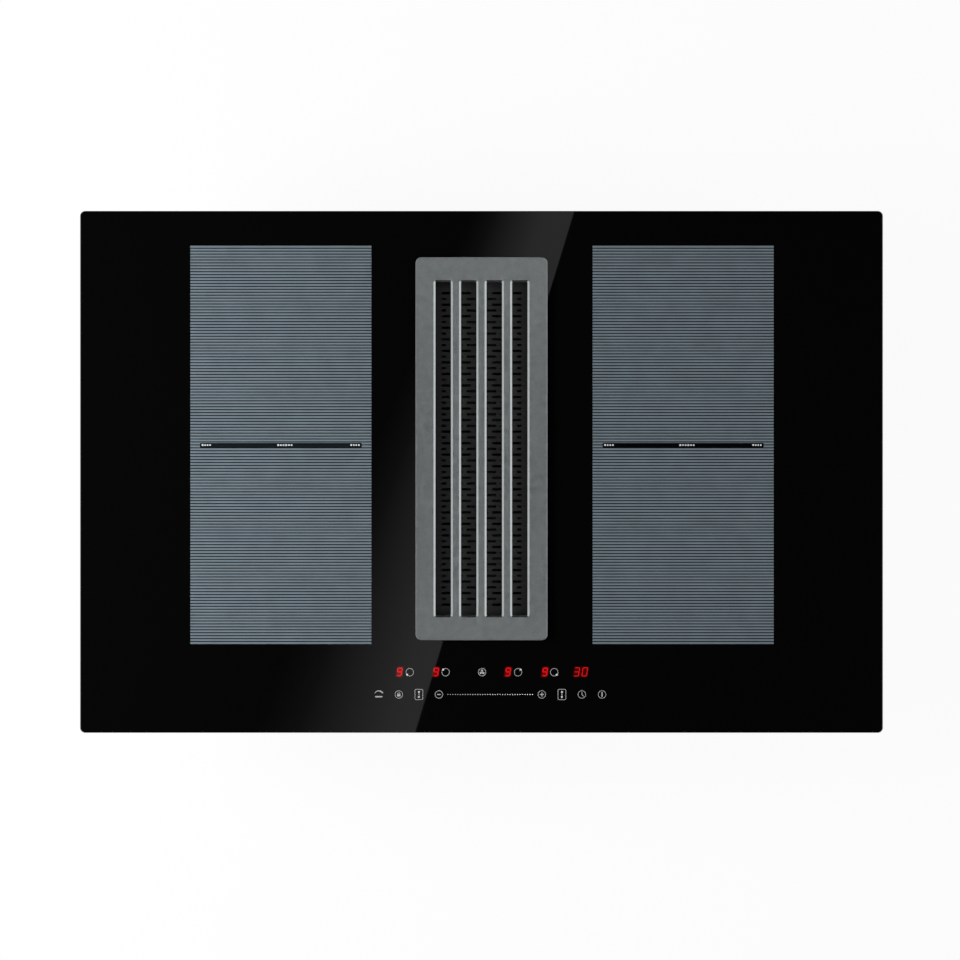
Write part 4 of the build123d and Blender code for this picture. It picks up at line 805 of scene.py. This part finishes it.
bright = Print("control_dots", inked("bright_ink", (0.66, 0.66, 0.66)), 0, INK + 0.02)
for x, (across, up) in COIL_RINGS:
    bright.disc(x + across * RING_DOT_OUT, UPPER_Y + up * RING_DOT_OUT, 1.0)
for x in FRAMES_X:
    for up in (-1, 1):
        bright.disc(x, LOWER_Y + up * FRAME_DOT_OUT, 0.95)
bright.finish()

# %% [markdown]
# The slider is a row of 35 pin point lamps, brighter to the right. Setting them out is the same
# job as the zones' lines, so it is a second small tree, with a flat cylinder on each point.

# %% The dotted slider
dot_row, given = repeat_tree("row_of_dots")
radius = given.also("Size").xyz()
dot = given.node(
    "GeometryNodeMeshCylinder",
    {},
    {"Vertices": 12, "Radius": radius, "Depth": radius.also("Z")},
)
end_tree(given, row_of(given, dot))

SLIDER_START, SLIDER_END, SLIDER_DOTS = -33.5, 50.8, 35
DOT_RADIUS = 0.36

slider_lamps, wire, place = start_finish("slider_lamps")
share = between(place.xyz(), 0, 1, SLIDER_START * MM, SLIDER_END * MM)
close_finish(
    wire,
    Base_Color=grey(0.05),
    Roughness=0.4,
    Emission_Color=blend_colours(share, grey(0.34), grey(1)),
    Emission_Strength=1.8,
)
slider = grow(
    "slider_dots",
    dot_row,
    Count=SLIDER_DOTS,
    Pitch=in_metres((SLIDER_END - SLIDER_START) / (SLIDER_DOTS - 1), 0, 0),
    First=(SLIDER_START * MM, LOWER_Y * MM, glass_top + INK / 2 * MM),
    Size=in_metres(DOT_RADIUS, 0, INK),
    Finish=slider_lamps,
)
keep(slider)


# %% [markdown]
# The figures are seven segment lamps below the glass, seen through it as red light. Light from
# below can't pass a black body, so the segments are thin lit plates on the surface. Where a
# finish is given the name of an attribute, its glow fades with it.


# %% Lit figures
def glowing(name, colour, glow=None):
    material, wire, place = start_finish(name)
    flicker = between(noise(place, 0.002, 1.0), 0.85, 1.0)
    if glow:
        fade = wire.node("ShaderNodeAttribute", {"attribute_name": glow}, output=2)
        flicker = flicker * fade * fade
    close_finish(
        wire,
        Base_Color=tint(GLASS_BLACK),
        Roughness=0.01,
        Emission_Color=blend_colours(flicker, grey(0), tint(colour)),
        Emission_Strength=1.0,
    )
    return material


SEGMENTS = {
    "a": ((0, 2), (1, 2)), "b": ((1, 2), (1, 1)), "c": ((1, 1), (1, 0)), "d": ((0, 0), (1, 0)),
    "e": ((0, 1), (0, 0)), "f": ((0, 2), (0, 1)), "g": ((0, 1), (1, 1)),
}
FIGURES = {"9": "abcdfg", "3": "abcdg", "0": "abcdef"}
SLANT = 0.16
FIGURE_Y = UPPER_Y + 0.3
NINES = (-81.6, -45.3, 26.4, 63.2)
TIMER = ((94.9, "3"), (102.9, "0"))


def draw_figure(sheet, figure, x, width, height, stroke):
    trim = stroke * 0.32
    for letter in FIGURES[figure]:
        ends = []
        for column, row in SEGMENTS[letter]:
            up = (row - 1) * height / 2
            ends.append((x + (column - 0.5) * width + up * SLANT, FIGURE_Y + up))
        (x1, y1), (x2, y2) = ends
        length = hypot(x2 - x1, y2 - y1)
        ux, uy = (x2 - x1) / length * trim, (y2 - y1) / length * trim
        sheet.bar(x1 + ux, y1 + uy, x2 - ux, y2 - uy, stroke)


figures = Print("figures", glowing("red_lamp", (0.86, 0.008, 0.012)), 0.03, 0.07)
for x in NINES:
    draw_figure(figures, "9", x, width=4.3, height=7.6, stroke=1.1)
for x, figure in TIMER:
    draw_figure(figures, figure, x, width=4.6, height=8.2, stroke=0.8)
figures.finish()

# %% [markdown]
# Red light also spreads a little in the glass, as a dim halo. Each figure stands on a thin plate
# of the glass's own black whose glow fades outwards. An attribute on the corners of the plate,
# one in the middle and nothing at the rim, carries that fade.

# %% Halos round the figures
HALO_TOP = 0.02
# rings of a halo from its middle to its underside: growth, glow, height
HALO_RINGS = ((-1.2, 1.0, HALO_TOP), (1.0, 0.55, HALO_TOP), (3.4, 0.0, HALO_TOP), (3.4, 0.0, 0.0))


def draw_halo(mesh_name, material, places, width, height):
    work = bmesh.new()
    glow = work.verts.layers.float.new("glow")
    for x in places:
        rings = []
        for extra, level, rise in HALO_RINGS:
            z = glass_top + rise * MM
            ring = []
            for px, py in rounded_points(0, 0, width + extra, height + extra, 1.1 + extra / 4):
                vert = work.verts.new(((x + px + py * SLANT) * MM, (FIGURE_Y + py) * MM, z))
                vert[glow] = level
                ring.append(vert)
            rings.append(ring)
        work.faces.new(rings[0])
        work.faces.new(rings[-1][::-1])
        for inner, outer in zip(rings, rings[1:]):
            for i in range(len(inner)):
                j = (i + 1) % len(inner)
                work.faces.new((inner[i], outer[i], outer[j], inner[j]))
    mesh = bpy.data.meshes.new(mesh_name)
    work.to_mesh(mesh)
    work.free()
    mesh.materials.append(material)
    print(mesh_name, "has", len(mesh.polygons), "faces")
    keep(show(mesh_name, mesh))


red_halo = glowing("red_halo", (0.17, 0.0012, 0.0012), "glow")
draw_halo("figure_halos", red_halo, NINES, 5.4, 8.8)
timer_x = sum(x for x, figure in TIMER) / 2
faint_halo = glowing("faint_red_halo", (0.05, 0.0006, 0.0006), "glow")
draw_halo("timer_halo", faint_halo, [timer_x], 13.6, 9.2)

# %% [markdown]
# The tub of the extractor is moulded with thin upright ribs, which stiffen its walls so they
# don't hum. A rib is narrower at its outer edge, or the tub wouldn't leave the mould. The tree
# pulls the outer edge of a bar in by a share and sets one such bar on every point of a row.

# %% Ribs on the tub
RIB = (2.6, 2.0, 104)
RIB_ROOT = 0.5
RIB_PITCH = 32
RIB_Z = 66
RIB_NARROWS, RIB_SHORTENS = -0.3, -0.02
FIRST_RIB_Y = -140
TUB_SIDE, TUB_FRONT = 170, -172

rib_row, given = repeat_tree("row_of_ribs")
place = given.node("GeometryNodeInputPosition")
outer = place.xyz().also("Y") > 0
pull = place.node(
    "ShaderNodeCombineXYZ", {}, {"X": outer * RIB_NARROWS, "Z": outer * RIB_SHORTENS}
)
offset = pull.node("ShaderNodeVectorMath", {"operation": "MULTIPLY"}, {0: place, 1: pull})
rib = given.node("GeometryNodeSetPosition", {}, {"Geometry": block(given), "Offset": offset})
end_tree(given, row_of(given, rib))

side_x = TUB_SIDE + RIB[1] / 2 - RIB_ROOT
front_y = TUB_FRONT - RIB[1] / 2 + RIB_ROOT
for word, turn, count, first, pitch in (
    ("right", -pi / 2, 11, (side_x, FIRST_RIB_Y, RIB_Z), (0, RIB_PITCH, 0)),
    ("left", pi / 2, 11, (-side_x, FIRST_RIB_Y, RIB_Z), (0, RIB_PITCH, 0)),
    ("front", pi, 9, (-4 * RIB_PITCH, front_y, RIB_Z), (RIB_PITCH, 0, 0)),
):
    ribs = grow(
        "tub_ribs_" + word,
        rib_row,
        Count=count,
        Pitch=in_metres(*pitch),
        First=in_metres(*first),
        Size=in_metres(*RIB),
        Turn=turn,
        Finish=tub_plastic,
    )
    keep(ribs)

# %% [markdown]
# Each coil under the glass is one copper wire, wound in a flat spiral from its eye outwards. The
# path is a rounded rectangle that grows a little from point to point. A curve object could carry
# it, but plain points also say how far along the wire each one lies.

# %% The path of a coil's wire
COIL_EYE, COIL_EYE_ROUND = (52, 66), 16
COIL_OUTSIDE, COIL_OUTSIDE_ROUND = (175, 193), 34
COIL_TURNS = 13
WIRE_RADIUS = 2.1


def wire_path():
    """Points of the spiral about its own middle, in millimetres."""
    path = []
    corners = len(rounded_points(0, 0, *COIL_EYE, COIL_EYE_ROUND))
    for i in range(COIL_TURNS * corners + 1):
        share = i / (COIL_TURNS * corners)
        width, height = (
            eye + 2 * WIRE_RADIUS + (outside - eye - 4 * WIRE_RADIUS) * share
            for eye, outside in zip(COIL_EYE, COIL_OUTSIDE)
        )
        corner = COIL_EYE_ROUND + (COIL_OUTSIDE_ROUND - COIL_EYE_ROUND) * share
        path.append(Vector(rounded_points(0, 0, width, height, corner)[i % corners]))
    return path


spiral = wire_path()
print("a coil's wire has", len(spiral), "points")

# %% [markdown]
# The wire is a bundle of fine strands, twisted so that each carries its share of the current. A
# UV map runs along and round the wire, and a sine of both makes slanting ridges that follow the
# winding, which object coordinates could not do.

# %% Stranded copper
STRANDS = 7
TWIST = 0.03


def stranded_copper():
    material, wire, place = start_finish("stranded_copper")
    along = wire.node("ShaderNodeUVMap", {"uv_map": "wire"}).xyz()
    strand = wire.maths("SINE", (along / TWIST + along.also("Y") * STRANDS) * 2 * pi)
    stain = noise(place, 0.01, 2.0)
    close_finish(
        wire,
        Base_Color=blend_colours(between(stain, 0, 1), (0.5, 0.2, 0.08, 1), (0.66, 0.3, 0.13, 1)),
        Metallic=0.9,
        Roughness=between(stain, 0.28, 0.4),
        Normal=relief(between(strand, 0, 1, -1, 1), 0.0004),
    )
    return material


copper = stranded_copper()
print(copper.name, "has", STRANDS, "strands, a turn in", round(STRANDS * TWIST / MM), "mm")

# %% [markdown]
# A ring of points is set square to the path at each of its points, and each ring is joined to
# the next, with a cap at either end. The plain ring of the CAD model gives way to the winding.

# %% Winding the coils
WIRE_SIDES = 8


def wind_coil(name, path, material):
    low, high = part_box(name)
    middle = (low + high) / 2
    work = bmesh.new()
    uv = work.loops.layers.uv.new("wire")
    sections, run = [], [0.0]
    for before, after in zip(path, path[1:]):
        run.append(run[-1] + (after - before).length * MM)
    for i, point in enumerate(path):
        along = (path[min(i + 1, len(path) - 1)] - path[max(i - 1, 0)]).normalized()
        section = []
        for side in range(WIRE_SIDES):
            angle = 2 * pi * side / WIRE_SIDES
            out, up = WIRE_RADIUS * cos(angle), WIRE_RADIUS * sin(angle)
            section.append(work.verts.new(middle + MM * Vector(
                (point.x + along.y * out, point.y - along.x * out, up)
            )))
        sections.append(section)
    for i, (first, second) in enumerate(zip(sections, sections[1:])):
        for side in range(WIRE_SIDES):
            after = (side + 1) % WIRE_SIDES
            face = work.faces.new((first[side], first[after], second[after], second[side]))
            face.smooth = True
            for loop, (ring, step) in zip(face.loops, ((i, 0), (i, 1), (i + 1, 1), (i + 1, 0))):
                loop[uv].uv = (run[ring], (side + step) / WIRE_SIDES)
    work.faces.new(sections[0][::-1])
    work.faces.new(sections[-1])
    bmesh.ops.recalc_face_normals(work, faces=work.faces)
    mesh = bpy.data.meshes.new(name + "_winding")
    work.to_mesh(mesh)
    work.free()
    mesh.materials.append(material)
    winding = show(name + "_winding", mesh)
    keep(winding)
    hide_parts(name)
    print(winding.name, "has", len(mesh.polygons), "faces")


for coil in ("coil_front_left", "coil_rear_left", "coil_front_right", "coil_rear_right"):
    wind_coil(coil, spiral, copper)

# %% [markdown]
# The grease filter holds back fat with layers of fine net in a coarse grid. The CAD model has the
# grid. The net's wires are rows of bars again, one row across and one along, and the tree puts
# the row on as many levels as there are layers.

# %% Net in the grease filter
NET_PITCH = 2.5
NET_WIRE = 0.45
NET_SIZE = (90, 334)
NET_LAYERS, NET_RISE, NET_LIFT = 3, 5, 0.6
INLET_Y = 23

stacked_rows, given = repeat_tree(
    "stacked_rows_of_bars", ("Layers", "NodeSocketInt"), ("Rise", "NodeSocketFloat")
)
levels = given.node(
    "GeometryNodeMeshLine",
    {"mode": "OFFSET", "count_mode": "TOTAL"},
    {
        "Count": given.also("Layers"),
        "Offset": given.node("ShaderNodeCombineXYZ", {}, {"Z": given.also("Rise")}),
    },
)
layer = row_of(given, block(given))
end_tree(
    given, given.node("GeometryNodeInstanceOnPoints", {}, {"Points": levels, "Instance": layer})
)
net_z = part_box("filter_mesh")[0].z / MM + NET_LIFT
for word, axis in (("across", 1), ("along", 0)):
    count = int(NET_SIZE[axis] / NET_PITCH) + 1
    start, step, size = [0, INLET_Y, net_z], [0, 0, 0], [*NET_SIZE, NET_WIRE]
    start[axis] -= (count - 1) * NET_PITCH / 2
    step[axis], size[axis] = NET_PITCH, NET_WIRE
    strands = grow(
        "net_wires_" + word,
        stacked_rows,
        Layers=NET_LAYERS,
        Rise=NET_RISE * MM,
        Count=count,
        Pitch=in_metres(*step),
        First=in_metres(*start),
        Size=in_metres(*size),
        Finish=painted_shade_net_finish,
    )
    keep(strands, "grease_filter")

# %% [markdown]
# Under the casing sticks a rating label. This one says nothing: it has a frame, lines where the
# text would be and a row of upright bars. It is foil, so it is bright and a bit uneven. It reads
# from the front, so its upper side is towards -Y.

# %% The label underneath
LABEL_X, LABEL_Y = 285, 110
LABEL_SIZE = (96, 60)
FOIL, LABEL_INK = -0.1, -0.12  # how far each layer reaches below the casing
TEXT_X, TEXT_STEP = LABEL_X - 40, 6.6
CODE_Y, CODE_STEP = LABEL_Y + 19, 3.3
casing_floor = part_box("hob_casing")[0].z

foil_finish = inked("label_foil", (0.66, 0.66, 0.67), 0.3)
label = Print("rating_label", foil_finish, FOIL, 0, casing_floor)
label.rounded(LABEL_X, LABEL_Y, *LABEL_SIZE, 3)
label.finish()

label_ink = inked("label_ink", (0.03, 0.03, 0.035), 0.5)
marks = Print("label_marks", label_ink, LABEL_INK, FOIL, casing_floor)
marks.rounded(LABEL_X, LABEL_Y, LABEL_SIZE[0] - 5, LABEL_SIZE[1] - 5, 2, 0.5)
for i, length in enumerate((58, 44, 52, 30, 48, 38)):
    line_y = LABEL_Y - 20 + i * TEXT_STEP
    marks.bar(TEXT_X, line_y, TEXT_X + length, line_y, 1.5)
for i in range(8):
    bar_x = TEXT_X + i * CODE_STEP
    marks.bar(bar_x, CODE_Y, bar_x, CODE_Y + 6, 0.8 + i % 3 * 0.5)
marks.finish()

# %% [markdown]
# The studio has a white surround. Where the camera, a mirror or glass looks at it, it is pure
# white, and as a light it is weaker, so that colours come out as they are written.

# %% The surround
SKY_LIGHT = 0.3


def looked_at(wire):
    """One where the camera, a mirror or glass looks, nothing where light is gathered."""
    ray = wire.node("ShaderNodeLightPath")
    direct = ray.maths("MAXIMUM", ray.also("Is Camera Ray"), ray.also("Is Glossy Ray"))
    return ray.maths("MAXIMUM", direct, ray.also("Is Transmission Ray"))


world = bpy.data.worlds.new("studio")
world.use_nodes = True
world.node_tree.nodes.clear()
wire = Wire(world.node_tree)
seen = looked_at(wire)
sky = wire.node(
    "ShaderNodeBackground", {}, {"Color": grey(1), "Strength": seen + (1 - seen) * SKY_LIGHT}
)
wire.node("ShaderNodeOutputWorld", {}, {"Surface": sky})
bpy.context.scene.world = world
print("surround:", SKY_LIGHT, "as a light, 1 where it is seen")

# %% [markdown]
# The floor is nearly as bright as the surround, with just enough paint in it to take the hob's
# shadow. From below it is clear, or the underside could never be looked at. It lies a hair under
# the hob, so that the two never share a plane.

# %% The floor
FLOOR, SINK = 6, -0.0005
FLOOR_GLOW = 0.93


def stage_plate(name, material, corners):
    mesh = bpy.data.meshes.new(name)
    mesh.from_pydata(corners, [], [(0, 1, 2, 3)])
    mesh.materials.append(material)
    plate = show(name, mesh)
    print(name, "in the studio")
    return plate


floor_finish, wire, _ = start_finish("white_floor")
seen = looked_at(wire)
paint = wire.node("ShaderNodeBsdfDiffuse", {}, {"Color": grey(0.85)})
glow = wire.node("ShaderNodeEmission", {}, {"Color": grey(1), "Strength": 1.0})
above = wire.node("ShaderNodeMixShader", {}, {0: seen * FLOOR_GLOW, 1: paint, 2: glow})
below = wire.node("ShaderNodeNewGeometry").also("Backfacing")
clear = wire.node("ShaderNodeBsdfTransparent")
floor_shader = wire.node("ShaderNodeMixShader", {}, {0: below, 1: above, 2: clear})
wire.node("ShaderNodeOutputMaterial", {}, {"Surface": floor_shader})
stage_plate(
    "studio_floor",
    floor_finish,
    [(-FLOOR, -FLOOR, SINK), (FLOOR, -FLOOR, SINK), (FLOOR, FLOOR, SINK), (-FLOOR, FLOOR, SINK)],
)

# %% [markdown]
# A flat black mirror shows whatever hangs over it. A photographer hangs a black card there, and
# lets a pale strip of ceiling show along one side of it, which is the slanting sheen across the
# glass. The card here does both: it is black, and glows from a sharp slanting edge leftwards.
# Only reflections see it, so it takes no light from the hob.


# %% The card over the glass
def glow_only(wire, colour, strength=1.0):
    glow = wire.node("ShaderNodeEmission", {}, {"Color": colour, "Strength": strength})
    wire.node("ShaderNodeOutputMaterial", {}, {"Surface": glow})


CARD_RISE = 3.0
SHEEN_LIGHT = 0.5
CARD = (1.03, 0.84)
# where the mirrored edge crosses the glass and how it slants, and how wide the sheen beside it is
EDGE_X, EDGE_SLOPE = 0.0131, 0.30516
SHEEN_START, START_SLOPE, SHEEN_END, END_SLOPE = 0.0134, 0.029, 0.132, -0.1166
SHEEN_FADE = (
    (0.0, 1), (0.12, 0.95), (0.28, 0.7), (0.44, 0.49), (0.6, 0.28), (0.72, 0.13), (0.85, 0.06),
    (1.0, 0),
)

card_finish, wire, place = start_finish("card_with_sheen")
shrink = 1 / (1 + CARD_RISE / CAMERA_RISE)
shrunk = place.node(
    "ShaderNodeVectorMath",
    {"operation": "MULTIPLY_ADD"},
    {
        0: place,
        1: (shrink, shrink, 0),
        2: (CAMERA_XY[0] * (1 - shrink), CAMERA_XY[1] * (1 - shrink), 0),
    },
)
on_glass = shrunk.xyz()
up = on_glass.also("Y")
from_edge = EDGE_X + up * EDGE_SLOPE - on_glass
start = SHEEN_START + up * START_SLOPE
fade = (from_edge - start) / (SHEEN_END + up * END_SLOPE - start)
strip = fade.node(
    "ShaderNodeValToRGB",
    {"stops": [(share, grey(level)) for share, level in SHEEN_FADE]},
    {"Fac": fade},
)
lit = blend_colours(from_edge > 0, grey(0), strip)
glow_only(wire, lit, SHEEN_LIGHT)


def reflections_only(plate):
    plate.visible_camera = plate.visible_diffuse = plate.visible_shadow = False


card_z = glass_top + CARD_RISE
cx, cy = CARD
reflections_only(stage_plate(
    "overhead_card",
    card_finish,
    [(-cx, -cy, card_z), (-cx, cy, card_z), (cx, cy, card_z), (cx, -cy, card_z)],
))

# %% [markdown]
# Black cards in front and behind keep the short ends of the slots dark. They lean inwards, out
# of the picture's way. To the left stands a grey one, so the bevels that look left are a little
# dimmer than those that look right.

# %% Side cards
CARD_FOOT = 0.02
DARK_HALF, DARK_Y, DARK_TOP, DARK_LEAN = 1.1, 1.6, 2.9, 0.7
GREY_X, GREY_HALF, GREY_TOP, GREY_LEVEL = -2.3, 2, 2.4, 0.82


def flat_card(name, level, corners):
    material, wire, _ = start_finish(name)
    glow_only(wire, grey(level))
    reflections_only(stage_plate(name, material, corners))


for y, word in ((-DARK_Y, "front"), (DARK_Y, "rear")):
    foot, top = (y, CARD_FOOT), (y * DARK_LEAN, DARK_TOP)
    flat_card(
        word + "_card",
        0.0,
        [(-DARK_HALF, *foot), (DARK_HALF, *foot), (DARK_HALF, *top), (-DARK_HALF, *top)],
    )
flat_card(
    "left_card",
    GREY_LEVEL,
    [
        (GREY_X, -GREY_HALF, CARD_FOOT), (GREY_X, GREY_HALF, CARD_FOOT),
        (GREY_X, GREY_HALF, GREY_TOP), (GREY_X, -GREY_HALF, GREY_TOP),
    ],
)

# %% [markdown]
# Two soft boxes give the rest of the light: a large one from the left for the whole hob, and a
# small weak one that lifts the right hand zone. Mirrors don't see them, so the glass stays black.


# %% Soft boxes
def soft_box(name, place, width, height, power):
    lamp = bpy.data.lights.new(name, "AREA")
    lamp.shape, lamp.size, lamp.size_y, lamp.energy = "RECTANGLE", width, height, power
    box = bpy.data.objects.new(name, lamp)
    box.location = place
    towards = Vector((0, 0, glass_top)) - box.location
    box.rotation_mode = "QUATERNION"
    box.rotation_quaternion = towards.to_track_quat("-Z", "Y")
    box.visible_glossy = False
    bpy.context.scene.collection.objects.link(box)
    print(name, "gives", power, "W")


soft_box("soft_box_left", (-1.3, 0.0, glass_top + 0.9), 0.8, 0.8, power=30)
soft_box("soft_box_right", (0.9, -0.1, glass_top + 0.35), 0.3, 0.5, power=1.2)
bpy.context.scene.view_settings.view_transform = "Standard"
